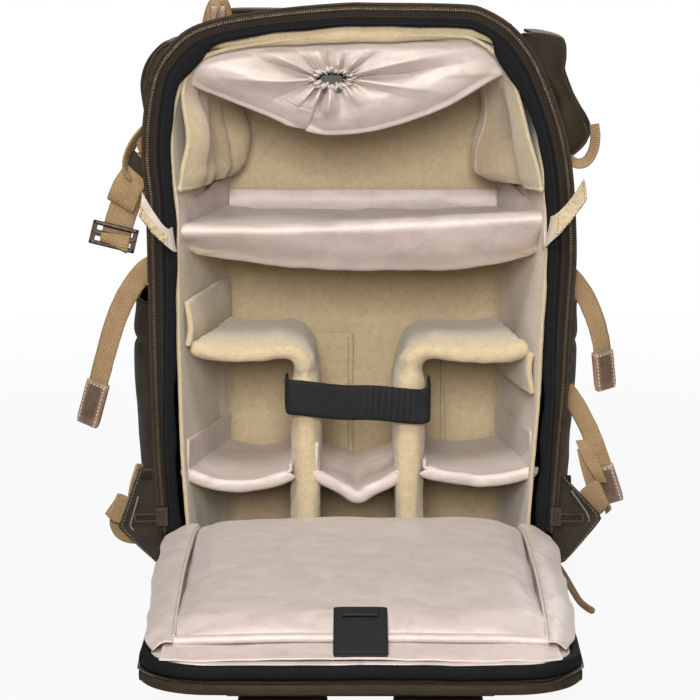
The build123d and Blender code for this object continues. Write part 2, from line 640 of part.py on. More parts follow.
def roll_top(side_loop):
    """Rolled canvas closure behind the rim with its two ends folded down the sides."""
    near = 14.0
    far = 62.0
    half = ROLL_HALF_WIDTH
    thick = ROLL_THICK
    foot = BODY_HEIGHT - END_LOOP_DROP
    end_start = OPENING + 20
    points = [(near, roof_at(near) + FIT), (near, roof_at(near) + thick * 0.7),
              (near + 9, roof_at(near) + thick), (far - 9, roof_at(far) + thick + 2),
              (far, roof_at(far) + thick * 0.7), (far, roof_at(far) + FIT)]
    roll = Pos(-half, 0, 0) * extrude(Plane.YZ * profile(points), amount=2 * half)
    save("roll_top", roll)
    for side, name, reach in ((-1, "left", 0.3), (1, "right", 1.0)):
        corner = TOP_HALF_WIDTH - SHOULDER_RADIUS * 0.29
        top = BODY_HEIGHT - SHOULDER_RADIUS * 0.29 - 4
        points = [(corner, top), (TOP_HALF_WIDTH - 4 + 10 * reach, top - 4),
                  (TOP_HALF_WIDTH + 2 + 15 * reach, foot + 16), (TOP_HALF_WIDTH - 6, foot)]
        wedge = along_y(profile(points), end_start, OPENING + 100)
        wedge = off_body(wedge)
        if side < 0:
            wedge = mirror(wedge, about=Plane.YZ)
        save(f"roll_end_{name}", wedge)
    over = WEB_THICK + 2 * FIT
    route = [(near + 6, roof_at(near) + thick + over), (near + 22, roof_at(near + 22) + thick + 2 + over),
             (far - 8, roof_at(far - 8) + thick + 1 + over), (far + 3, roof_at(far) + 5),
             (far + 10, roof_at(far + 10) + over), (FAR - 4, roof_at(FAR - 4) + over + 1),
             (FAR + over + 2, roof_at(FAR) - 1), (FAR + over, roof_at(FAR) - 18),
             (FAR + over, roof_at(FAR) - 50), (FAR + over, FRONT_TOP + 4)]
    web = Pos(-WIDE_WEB / 2, 0, 0) * extrude(Plane.YZ * ribbon(route, WEB_THICK), amount=WIDE_WEB)
    save("roll_strap", off_body(web) - roll)
    tab = block(-110, -96, OPENING + 12, OPENING + 15, BODY_HEIGHT - 30, BODY_HEIGHT + 4)
    tab = off_body(tab)
    edge = TOP_HALF_WIDTH + 2
    web = ribbon([(edge, foot), (edge + 8, foot - 4), (edge + 15, foot + 4), (edge + 16, foot + 20)], 8.0)
    end_loop = off_body(along_y(web, end_start - FIT - WEB_THICK, end_start - FIT))
    save("webbing_loops", side_loop, tab, end_loop)
    handle_y = FAR - 12
    seat = roof_at(handle_y - WEB_WIDTH / 2) + FIT
    arch = ThreePointArc((-52, seat), (0, seat + 17), (52, seat))
    under = ThreePointArc((-48, seat), (0, seat + 14.5), (48, seat))
    ends = [Line((-52, seat), (-48, seat)), Line((52, seat), (48, seat))]
    handle = along_y(make_face([arch, under] + ends), handle_y - WEB_WIDTH / 2, handle_y + WEB_WIDTH / 2)
    save("haul_handle", handle)


# ---------------------------------------------------------------- rear panel
def panel_face(inset, foot=0.0):
    """Outline of the closed panel, drawn in by inset."""
    half = PANEL_HALF_WIDTH - inset
    low = HINGE_HEIGHT + foot + inset
    high = HINGE_HEIGHT + PANEL_LENGTH - inset
    face = profile([(-half, low), (half, low), (half, high), (-half, high)])
    ranked = face.vertices().sort_by(Axis.Y)
    return fillet(ranked[-2:], max(PANEL_CORNER - inset, 2.0))


def rear_panel():
    """The opened panel: padded canvas, bound edge, zip, sleeve for a computer and tab."""
    inner = PANEL_FACE
    outer = PANEL_FACE - PANEL_THICK
    edge = 7.0
    core = along_y(panel_face(edge + FIT, PANEL_FOOT - edge), outer, inner)
    save("panel_core", opened(core))
    skin_y = outer + 7.0
    band = along_y(panel_face(0, PANEL_FOOT), outer, skin_y) - along_y(panel_face(edge, -20), outer - 1, skin_y + 1)
    save("panel_edge_canvas", opened(band))
    teeth_y = skin_y + 3.0
    teeth = along_y(panel_face(0.5, PANEL_FOOT - 0.5), skin_y, teeth_y) - along_y(
        panel_face(edge, -20), skin_y - 1, teeth_y + 1)
    save("panel_zip_teeth", opened(teeth))
    piping = along_y(panel_face(1.5, PANEL_FOOT - 1.5), teeth_y, inner) - along_y(
        panel_face(edge, -20), teeth_y - 1, inner + 1)
    save("panel_binding", opened(piping))

    low = HINGE_HEIGHT + POCKET_START
    high = low + POCKET_LENGTH
    front = PANEL_FACE + POCKET_DEPTH
    sleeve = block(-POCKET_HALF_WIDTH, POCKET_HALF_WIDTH, inner + FIT, front, low, high)
    sleeve = fillet(sleeve.edges().group_by(Axis.Y)[-1], 5)
    slot = block(-POCKET_HALF_WIDTH + POCKET_WALL, POCKET_HALF_WIDTH - POCKET_WALL,
                 inner + FIT + 1.2, inner + FIT + 1.2 + POCKET_GAP, low + 12, high + 5)
    lip = block(-POCKET_HALF_WIDTH + 2, POCKET_HALF_WIDTH - 2, inner + FIT, inner + FIT + 1.0,
                high + FIT, high + MOUTH_LIP)
    end = BODY_HEIGHT - ZIP_INSET - TAPE_WIDTH - BINDING_WIDTH - TAB_MARGIN
    tab = block(-TAB_WIDTH / 2, TAB_WIDTH / 2, front + FIT, front + FIT + TAB_THICK, end - TAB_LENGTH, end)
    root = block(-TAB_WIDTH / 2, TAB_WIDTH / 2, inner + FIT, front, end - 5, end)
    save("sleeve_tab", opened(tab))
    save("computer_sleeve", opened(sleeve - slot), opened(lip), opened(root))


def hinge_gusset():
    """Canvas strip that joins the panel's foot to the boot."""
    strip = block(-PANEL_HALF_WIDTH + 2, PANEL_HALF_WIDTH - 2, PANEL_FACE + 0.2, OPENING - 0.2,
                  HINGE_HEIGHT - 16, HINGE_HEIGHT - 1.5)
    save("hinge_gusset", strip)


def harness():
    """Back pads, shoulder straps, yoke and webbing on the panel's outer face."""
    face = PANEL_FACE - PANEL_THICK
    low = HINGE_HEIGHT + BACK_PAD_START
    pads = []
    straps = []
    tails = []
    for side in (-1, 1):
        x0 = BACK_CHANNEL / 2
        x1 = x0 + BACK_PAD_WIDTH
        pad = soft_block(*sorted((side * x0, side * x1)), face - BACK_PAD_THICK, face - FIT,
                         low, low + BACK_PAD_LENGTH, 5)
        pads.append(opened(pad))
        strap_face = face - BACK_PAD_THICK - FIT
        a, b = sorted((side * SHOULDER_INSET, side * (SHOULDER_INSET + SHOULDER_WIDTH)))
        strap = soft_block(a, b, strap_face - STRAP_THICK, strap_face,
                           low + BACK_PAD_LENGTH - SHOULDER_LENGTH, low + BACK_PAD_LENGTH, 4)
        straps.append(opened(strap))
        middle = side * (SHOULDER_INSET + SHOULDER_WIDTH / 2)
        tail = block(middle - WEB_WIDTH / 2, middle + WEB_WIDTH / 2, strap_face - STRAP_THICK + 3,
                     strap_face - STRAP_THICK + 3 + WEB_THICK, low - 24, low + BACK_PAD_LENGTH - SHOULDER_LENGTH - FIT)
        tails.append(opened(tail))
    save("back_pads", *pads)
    save("shoulder_straps", *straps)
    save("strap_webbing", *tails)
    top = low + BACK_PAD_LENGTH + FIT
    yoke = soft_block(-84, 84, face - BACK_PAD_THICK - STRAP_THICK + 4, face - FIT, top, top + 30, 5)
    save("harness_yoke", opened(yoke))


# ---------------------------------------------------------------- free cord
CORD_PULL_DIAMETER = 5.0
CORD_PULL_POINTS = [(144, -91.4, 25), (149, -106, 20), (156, -122, 9), (161, -140, 3.2), (167, -156, 3.0)]


def cord_pull():
    """Short tan cord that hangs from the foot of the body onto the floor."""
    points = [Vector(*p) for p in CORD_PULL_POINTS]
    radii = []
    for before, corner, after in zip(points, points[1:], points[2:]):
        into = corner - before
        away = after - corner
        turn = radians(into.get_angle(away))
        radii.append(0.45 * min(into.length, away.length) / tan(turn / 2))
    print("cord radii", [round(r, 1) for r in radii])
    path = FilletPolyline(*points, radius=radii)
    start = Plane(origin=path @ 0, z_dir=path % 0)
    tube = sweep(start * Circle(CORD_PULL_DIAMETER / 2), path=path)
    print("cord length", round(path.length, 1), "volume ratio",
          round(tube.volume / (pi * CORD_PULL_DIAMETER**2 / 4 * path.length), 4))
    save("puller_cord", tube)


body_shell()
foam_walls()
opening_rim()
zip_sliders()
top_divider()
fleece_dividers()
slings()
lens_strap()
drawstring()
side_pockets()
front_pocket()
wings()
strap_tails()
roll_top(upper_left_hardware())
rear_panel()
hinge_gusset()
harness()
cord_pull()
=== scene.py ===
"""Dresses an open, rear-access roll-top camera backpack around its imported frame.

The bag stands upright with its rear panel let down on the floor towards the viewer. Every class below
is one sub-assembly: its fields are sizes in millimetres, its methods make the meshes and hand them to
the frame. Finishes are small frozen classes that build their own shader graphs.
"""

from __future__ import annotations

import logging
import math
from dataclasses import dataclass, field
from enum import Enum
from typing import Callable, Sequence

import bmesh
import bpy
import numpy as np
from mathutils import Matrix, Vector, noise


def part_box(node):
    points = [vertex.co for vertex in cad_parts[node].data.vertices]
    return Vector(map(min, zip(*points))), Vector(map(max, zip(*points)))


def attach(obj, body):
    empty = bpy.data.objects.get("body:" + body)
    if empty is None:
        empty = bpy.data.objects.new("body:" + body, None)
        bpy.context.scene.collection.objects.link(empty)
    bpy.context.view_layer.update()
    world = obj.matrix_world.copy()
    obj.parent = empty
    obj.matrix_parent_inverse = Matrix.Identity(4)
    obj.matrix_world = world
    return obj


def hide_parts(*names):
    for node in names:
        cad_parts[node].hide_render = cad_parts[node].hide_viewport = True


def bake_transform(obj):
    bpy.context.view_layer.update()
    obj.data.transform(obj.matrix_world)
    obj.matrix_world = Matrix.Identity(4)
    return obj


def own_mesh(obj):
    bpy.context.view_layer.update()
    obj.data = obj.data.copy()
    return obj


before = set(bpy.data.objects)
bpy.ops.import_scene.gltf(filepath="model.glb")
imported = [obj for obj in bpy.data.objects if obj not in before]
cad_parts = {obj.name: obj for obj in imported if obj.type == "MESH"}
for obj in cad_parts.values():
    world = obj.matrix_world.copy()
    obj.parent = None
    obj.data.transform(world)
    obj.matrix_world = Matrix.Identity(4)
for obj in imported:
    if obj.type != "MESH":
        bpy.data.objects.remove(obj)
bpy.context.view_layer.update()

LOG = logging.getLogger("camera_bag")
MM = 0.001
FULL_TURN = 2 * math.pi
OPENING_Y = -90.0
FAR_Y = 90.0
Array = np.ndarray
Point = tuple[float, float, float]
BODY = "pack_body"
PANEL = "rear_panel"


# ------------------------------------------------------------------ geometry helpers
def side_name(side: int) -> str:
    """The name of the side of the bag at negative or positive X."""
    return "left" if side < 0 else "right"


def unit(vectors: Array) -> Array:
    """Return vectors scaled to length one along their last axis."""
    length = np.linalg.norm(vectors, axis=-1, keepdims=True)
    return vectors / np.maximum(length, 1e-9)


def resample(points: Array, count: int, closed: bool = False) -> Array:
    """Spread points evenly by arc length along a polyline.

    Args:
        points: The polyline, one row per point.
        count: Number of points wanted.
        closed: True when the line returns to its first point.

    Returns:
        An array of count points.
    """
    line = np.vstack([points, points[:1]]) if closed else points
    along = np.concatenate([[0], np.cumsum(np.linalg.norm(np.diff(line, axis=0), axis=1))])
    stations = np.linspace(0, along[-1], count + 1)[:-1] if closed else np.linspace(0, along[-1], count)
    return np.stack([np.interp(stations, along, line[:, k]) for k in range(line.shape[1])], axis=1)


def smooth_line(points: Sequence[Sequence[float]], count: int, closed: bool = False) -> Array:
    """Pass a Catmull-Rom curve through given points.

    Args:
        points: The points, in millimetres, in two or three dimensions.
        count: Number of evenly spaced samples.
        closed: True for a loop.

    Returns:
        The sampled curve, count rows.
    """
    knots = np.asarray(points, float)
    total = len(knots)
    spans = total if closed else total - 1
    samples = []
    for i in range(spans):
        if closed:
            a, b, c, d = (knots[(i + k) % total] for k in (-1, 0, 1, 2))
        else:
            a, b, c, d = knots[max(i - 1, 0)], knots[i], knots[i + 1], knots[min(i + 2, total - 1)]
        for t in np.linspace(0, 1, 12, endpoint=False):
            samples.append(0.5 * (2 * b + (c - a) * t + (2 * a - 5 * b + 4 * c - d) * t**2
                                  + (3 * b - a - 3 * c + d) * t**3))
    if not closed:
        samples.append(knots[-1])
    return resample(np.array(samples), count, closed)


def wrinkle(points: Array, scale: float, seed: float = 0.0) -> Array:
    """Smooth noise between -1 and 1 at each point.

    Args:
        points: Places in millimetres, any leading shape, three values each.
        scale: Size of one wrinkle in millimetres.
        seed: Shifts the pattern.

    Returns:
        One value per point, in the same leading shape.
    """
    flat = points.reshape(-1, 3) / scale + seed
    values = np.array([noise.noise(Vector(p)) for p in flat])
    return values.reshape(points.shape[:-1])


def ease(value: Array | float) -> Array | float:
    """Smooth step from 0 to 1."""
    t = np.clip(value, 0.0, 1.0)
    return t * t * (3 - 2 * t)


def tangents(line: Array, closed: bool = False) -> Array:
    """Unit tangents of a polyline."""
    if closed:
        return unit(np.roll(line, -1, axis=0) - np.roll(line, 1, axis=0))
    return unit(np.gradient(line, axis=0))


def grid_normals(grid: Array, wrap_u: bool = False) -> Array:
    """Unit normals of a grid of points; wrap_u joins the last row to the first."""
    if wrap_u:
        du = np.roll(grid, -1, axis=0) - np.roll(grid, 1, axis=0)
    else:
        du = np.gradient(grid, axis=0)
    dv = np.gradient(grid, axis=1)
    return unit(np.cross(du, dv))


def box_mm(node: str) -> tuple[Array, Array]:
    """Lowest and highest corner of a frame node, in millimetres."""
    low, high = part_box(node)
    return np.array(low) / MM, np.array(high) / MM


# ------------------------------------------------------------------ mesh makers
def make_object(name: str, points: Array, faces: list[tuple[int, ...]],
                uvs: list[tuple[float, float]] | None = None,
                weld: float = 0.0, recalc: bool = True) -> bpy.types.Object:
    """Make a mesh object from points in millimetres.

    Args:
        name: Name of the piece.
        points: One row per vertex.
        faces: Vertex numbers of each face.
        uvs: One pair for each corner of each face, in the same order.
        weld: Distance in millimetres under which vertices are merged.
        recalc: Turn all faces outwards.

    Returns:
        The new object, at the origin.
    """
    mesh = bpy.data.meshes.new(name)
    mesh.from_pydata((np.asarray(points, float).reshape(-1, 3) * MM).tolist(), [], faces)
    if uvs is not None:
        layer = mesh.uv_layers.new(name="UVMap")
        layer.data.foreach_set("uv", np.asarray(uvs, np.float32).reshape(-1))
    edit = bmesh.new()
    edit.from_mesh(mesh)
    if weld:
        bmesh.ops.remove_doubles(edit, verts=edit.verts, dist=weld * MM)
    if recalc:
        bmesh.ops.recalc_face_normals(edit, faces=edit.faces)
    edit.to_mesh(mesh)
    edit.free()
    mesh.polygons.foreach_set("use_smooth", [True] * len(mesh.polygons))
    thing = bpy.data.objects.new(name, mesh)
    bpy.context.scene.collection.objects.link(thing)
    return thing


def slab(name: str, grid: Array, thickness: float | Array, side: float = 0.0,
         wrap: bool = False) -> bpy.types.Object:
    """Turn a grid of points into a closed sheet of cloth.

    Args:
        name: Name of the piece.
        grid: Points by row and column, in millimetres.
        thickness: Thickness of the sheet, one value or one per grid point.
        side: -1 grows against the grid's normal, 1 along it, 0 both ways.
        wrap: Joins the last row to the first.

    Returns:
        The new object, with a UV map in metres along rows and columns.
    """
    rows, cols = grid.shape[:2]
    thick = np.broadcast_to(np.asarray(thickness, float), (rows, cols))[..., None]
    normal = grid_normals(grid, wrap)
    upper = grid + normal * thick * (1 + side) / 2
    lower = grid - normal * thick * (1 - side) / 2
    points = np.concatenate([upper.reshape(-1, 3), lower.reshape(-1, 3)])
    step_u = np.linalg.norm(np.diff(grid, axis=0), axis=2).mean(axis=1)
    step_v = np.linalg.norm(np.diff(grid, axis=1), axis=2).mean(axis=0)
    u_at = np.concatenate([[0], np.cumsum(step_u)]) * MM
    v_at = np.concatenate([[0], np.cumsum(step_v)]) * MM
    u_at = np.append(u_at, u_at[-1] + step_u.mean() * MM)
    under = rows * cols
    faces = []
    uvs = []
    last = rows if wrap else rows - 1
    for i in range(last):
        k = (i + 1) % rows
        for j in range(cols - 1):
            quad = (i * cols + j, k * cols + j, k * cols + j + 1, i * cols + j + 1)
            pair = [(v_at[j], u_at[i]), (v_at[j], u_at[i + 1]), (v_at[j + 1], u_at[i + 1]),
                    (v_at[j + 1], u_at[i])]
            faces.append(quad)
            uvs.extend(pair)
            faces.append(tuple(under + q for q in reversed(quad)))
            uvs.extend(reversed(pair))
        for j in (0, cols - 1):
            a, b = i * cols + j, k * cols + j
            edge = (a, a + under, b + under, b) if j == 0 else (b, b + under, a + under, a)
            faces.append(edge)
            uvs.extend([(v_at[j], u_at[i])] * 4)
    if not wrap:
        for i in (0, rows - 1):
            for j in range(cols - 1):
                a, b = i * cols + j, i * cols + j + 1
                edge = (b, b + under, a + under, a) if i == 0 else (a, a + under, b + under, b)
                faces.append(edge)
                uvs.extend([(v_at[j], u_at[i])] * 4)
    return make_object(name, points, faces, uvs)


def sweep(name: str, line: Array, profile: Array, across: Array, out: Array,
          closed: bool = False) -> bpy.types.Object:
    """Sweep a closed profile along a line.

    Args:
        name: Name of the piece.
        line: Centre line in millimetres.
        profile: Closed section as (across, out) pairs in millimetres.
        across: Unit vector for the section's first axis at each point, or one for all.
        out: Unit vector for the section's second axis, likewise.
        closed: True when the line is a loop.

    Returns:
        The new object, with UVs in metres: around the section, then along the line.
    """
    count = len(line)
    across = np.broadcast_to(across, (count, 3))
    out = np.broadcast_to(out, (count, 3))
    ring = len(profile)
    points = (line[:, None] + across[:, None] * profile[None, :, :1] + out[:, None] * profile[None, :, 1:])
    around = np.concatenate([[0], np.cumsum(np.linalg.norm(np.roll(profile, -1, axis=0) - profile,
                                                           axis=1))]) * MM
    step = np.linalg.norm(np.diff(line, axis=0), axis=1)
    along = np.concatenate([[0], np.cumsum(step), [step.sum() + step.mean()]]) * MM
    faces = []
    uvs = []
    for i in range(count if closed else count - 1):
        k = (i + 1) % count
        for j in range(ring):
            n = (j + 1) % ring
            faces.append((i * ring + j, k * ring + j, k * ring + n, i * ring + n))
            uvs.extend([(around[j], along[i]), (around[j], along[i + 1]),
                        (around[j + 1], along[i + 1]), (around[j + 1], along[i])])
    if not closed:
        faces.append(tuple(range(ring)))
        faces.append(tuple(reversed(range((count - 1) * ring, count * ring))))
        uvs.extend([(0.0, 0.0)] * (2 * ring))
    return make_object(name, points, faces, uvs)


def round_section(width: float, height: float, points: int = 12, power: float = 2.5) -> Array:
    """A closed superellipse section, width by height, centred."""
    turn = np.linspace(0, FULL_TURN, points, endpoint=False)
    c, s = np.cos(turn), np.sin(turn)
    shape = np.stack([np.sign(c) * np.abs(c) ** (2 / power), np.sign(s) * np.abs(s) ** (2 / power)], axis=1)
    return shape * [width / 2, height / 2]


def tube(name: str, line: Array, diameter: float, closed: bool = False, sides: int = 10) -> bpy.types.Object:
    """A round tube along a line, with a frame that doesn't twist suddenly."""
    along = tangents(line, closed)
    guide = np.array([0.31, 0.17, 0.93])
    across = unit(np.cross(along, guide))
    return sweep(name, line, round_section(diameter, diameter, sides, 2.0), across,
                 unit(np.cross(across, along)), closed)


def band(name: str, line: Array, width: float, thickness: float, facing: Array, closed: bool = False,
         columns: int = 9) -> bpy.types.Object:
    """A flat strap along a line.

    Args:
        name: Name of the piece.
        line: Centre line in millimetres.
        width: Width of the strap.
        thickness: Thickness of the strap.
        facing: Direction its flat side looks, one vector or one per point.
        closed: True for a loop.
        columns: Points across one side.

    Returns:
        The new object; its UVs run across the strap, then along it.
    """
    along = tangents(line, closed)
    across = unit(np.cross(along, np.broadcast_to(facing, line.shape)))
    out = unit(np.cross(across, along))
    place = np.linspace(-0.5, 0.5, columns)
    soft = thickness / 2 * (1 - 0.45 * np.abs(place * 2) ** 8)
    top = np.stack([place * width, soft], axis=1)
    under = np.stack([place[::-1] * width, -soft], axis=1)
    return sweep(name, line, np.concatenate([top, under]), across, out, closed)


def soft_box(name: str, low: Sequence[float], high: Sequence[float], radius: float,
             crown: Sequence[float] = (0, 0, 0),
             step: float = 5.0, shape: Callable[[Array], Array] | None = None) -> bpy.types.Object:
    """A padded block with rounded edges and crowned faces.

    Args:
        name: Name of the piece.
        low: Lowest corner in millimetres.
        high: Highest corner.
        radius: Edge rounding.
        crown: How far the middle of the faces across each axis swells.
        step: Spacing of the mesh.
        shape: A last change to the points.

    Returns:
        The new object.
    """
    low, high = np.asarray(low, float), np.asarray(high, float)
    half = (high - low) / 2
    radius = min(radius, 0.98 * half.min())
    cuts = [max(4, int(math.ceil(2 * h / step))) for h in half]
    ticks = []
    for k in range(3):
        t = np.linspace(-1, 1, cuts[k] + 1)
        near_edge = min(0.9, radius / half[k])
        ticks.append(np.unique(np.concatenate([t, [-1 + near_edge * f for f in (0.12, 0.4)],
                                               [1 - near_edge * f for f in (0.12, 0.4)]])))
    points = []
    faces = []
    for axis in range(3):
        b, c = (axis + 1) % 3, (axis + 2) % 3
        grid_b, grid_c = np.meshgrid(ticks[b], ticks[c], indexing="ij")
        rows, cols = grid_b.shape
        for sign in (-1, 1):
            q = np.zeros((rows, cols, 3))
            q[..., axis], q[..., b], q[..., c] = sign, grid_b, grid_c
            start = sum(len(p) for p in points)
            points.append(q.reshape(-1, 3))
            for i in range(rows - 1):
                for j in range(cols - 1):
                    a = start + i * cols + j
                    faces.append((a, a + cols, a + cols + 1, a + 1))
    q = np.concatenate(points)
    place = q * half
    core = np.clip(place, -(half - radius), half - radius)
    place = core + unit(place - core) * radius * (np.abs(place - core).max(axis=1, keepdims=True) > 1e-6)
    for axis in range(3):
        b, c = (axis + 1) % 3, (axis + 2) % 3
        place[:, axis] += np.sign(q[:, axis]) * np.abs(q[:, axis]) ** 3 * crown[axis] * (
            (1 - q[:, b] ** 4) * (1 - q[:, c] ** 4))
    place = place + (low + high) / 2
    if shape is not None:
        place = shape(place)
    return make_object(name, place, faces, weld=0.05)


def join(name: str, parts: list[bpy.types.Object]) -> bpy.types.Object:
    """Join several mesh objects into one with a new name."""
    for other in bpy.context.selected_objects:
        other.select_set(False)
    for part in parts:
        part.select_set(True)
    bpy.context.view_layer.objects.active = parts[0]
    bpy.ops.object.join()
    whole = parts[0]
    whole.select_set(False)
    whole.name = name
    whole.data.name = name
    return whole


def displace(thing: bpy.types.Object, amount: float, scale: float, seed: float = 0.0) -> None:
    """Push vertices along their normals by smooth noise.

    Args:
        thing: The object to change.
        amount: Largest push in millimetres.
        scale: Size of the noise in millimetres.
        seed: Shifts the pattern.
    """
    mesh = thing.data
    count = len(mesh.vertices)
    place = np.zeros(count * 3)
    normal = np.zeros(count * 3)
    mesh.vertices.foreach_get("co", place)
    mesh.vertices.foreach_get("normal", normal)
    place = place.reshape(-1, 3)
    push = wrinkle(place / MM, scale, seed)[:, None] * amount * MM
    mesh.vertices.foreach_set("co", (place + normal.reshape(-1, 3) * push).reshape(-1))
    mesh.update()


def applied(thing: bpy.types.Object) -> bpy.types.Object:
    """Turn an object's modifiers into plain mesh."""
    bpy.context.view_layer.update()
    mesh = bpy.data.meshes.new_from_object(thing.evaluated_get(bpy.context.evaluated_depsgraph_get()))
    thing.modifiers.clear()
    thing.data = mesh
    return thing


def subdivide(thing: bpy.types.Object, levels: int = 1) -> None:
    """Smooth a mesh once more and keep the result as plain mesh."""
    modifier = thing.modifiers.new("smooth", "SUBSURF")
    modifier.levels = levels
    modifier.render_levels = levels
    applied(thing)


def inflate(thing: bpy.types.Object, pressure: float = 4.0, voxel: float = 5.0, cap: float = 6.0) -> None:
    """Let the cloth of a pad swell, then keep the swollen mesh.

    Args:
        thing: A closed mesh, drawn a little smaller than the finished pad.
        pressure: Cloth pressure.
        voxel: Remesh size in millimetres.
        cap: Furthest that a point may move, in millimetres.
    """
    remesh = thing.modifiers.new("even mesh", "REMESH")
    remesh.mode = "VOXEL"
    remesh.voxel_size = voxel * MM
    remesh.use_smooth_shade = True
    applied(thing)
    before = np.zeros(len(thing.data.vertices) * 3)
    thing.data.vertices.foreach_get("co", before)
    cloth = thing.modifiers.new("cloth", "CLOTH")
    cloth.settings.quality = 5
    cloth.settings.use_pressure = True
    cloth.settings.uniform_pressure_force = pressure
    cloth.settings.effector_weights.gravity = 0
    cloth.point_cache.frame_start = 1
    cloth.point_cache.frame_end = 20
    scene = bpy.context.scene
    for number in range(1, 21):
        scene.frame_set(number)
    applied(thing)
    scene.frame_set(1)
    after = np.zeros(len(thing.data.vertices) * 3)
    thing.data.vertices.foreach_get("co", after)
    move = (after - before).reshape(-1, 3)
    length = np.linalg.norm(move, axis=1, keepdims=True)
    move *= np.minimum(1.0, cap * MM / np.maximum(length, 1e-9))
    thing.data.vertices.foreach_set("co", (before.reshape(-1, 3) + move).reshape(-1))
    thing.data.polygons.foreach_set("use_smooth", [True] * len(thing.data.polygons))
    subdivide(thing)


# ------------------------------------------------------------------ shader graph
class Op(Enum):
    """Arithmetic that a Math node does for a Value."""

    ADD = "ADD"
    SUBTRACT = "SUBTRACT"
    MULTIPLY = "MULTIPLY"
    DIVIDE = "DIVIDE"
    SINE = "SINE"
    POWER = "POWER"


class Value:
    """A shader socket that takes part in Python arithmetic."""

    def __init__(self, graph: Graph, socket: bpy.types.NodeSocket) -> None:
        """Wrap one output socket of a graph."""
        self.graph = graph
        self.socket = socket

    def _math(self, operation: Op, *terms: Value | float, clamp: bool = False) -> Value:
        """Add one Math node."""
        found = self.graph.node("ShaderNodeMath", {"operation": operation.value, "use_clamp": clamp},
                                dict(enumerate(terms)))
        return Value(self.graph, found.outputs[0])

    def __add__(self, other: Value | float) -> Value:
        """Sum."""
        return self._math(Op.ADD, self, other)

    __radd__ = __add__

    def __sub__(self, other: Value | float) -> Value:
        """Difference."""
        return self._math(Op.SUBTRACT, self, other)

    def __rsub__(self, other: float) -> Value:
        """Difference from a number."""
        return self._math(Op.SUBTRACT, other, self)

    def __mul__(self, other: Value | float) -> Value:
        """Product."""
        return self._math(Op.MULTIPLY, self, other)

    __rmul__ = __mul__

    def __truediv__(self, other: Value | float) -> Value:
        """Quotient."""
        return self._math(Op.DIVIDE, self, other)

    def sine(self) -> Value:
        """Sine of the value."""
        return self._math(Op.SINE, self)

    def power(self, exponent: float) -> Value:
        """The value raised to an exponent."""
        return self._math(Op.POWER, self, exponent)

    def clamp(self) -> Value:
        """The value held between 0 and 1."""
        return self._math(Op.ADD, self, 0.0, clamp=True)

    def above(self, edge: float, soft: float) -> Value:
        """A mask that rises from 0 to 1 across edge, over a width of soft."""
        return ((self - edge) / soft + 0.5).clamp()


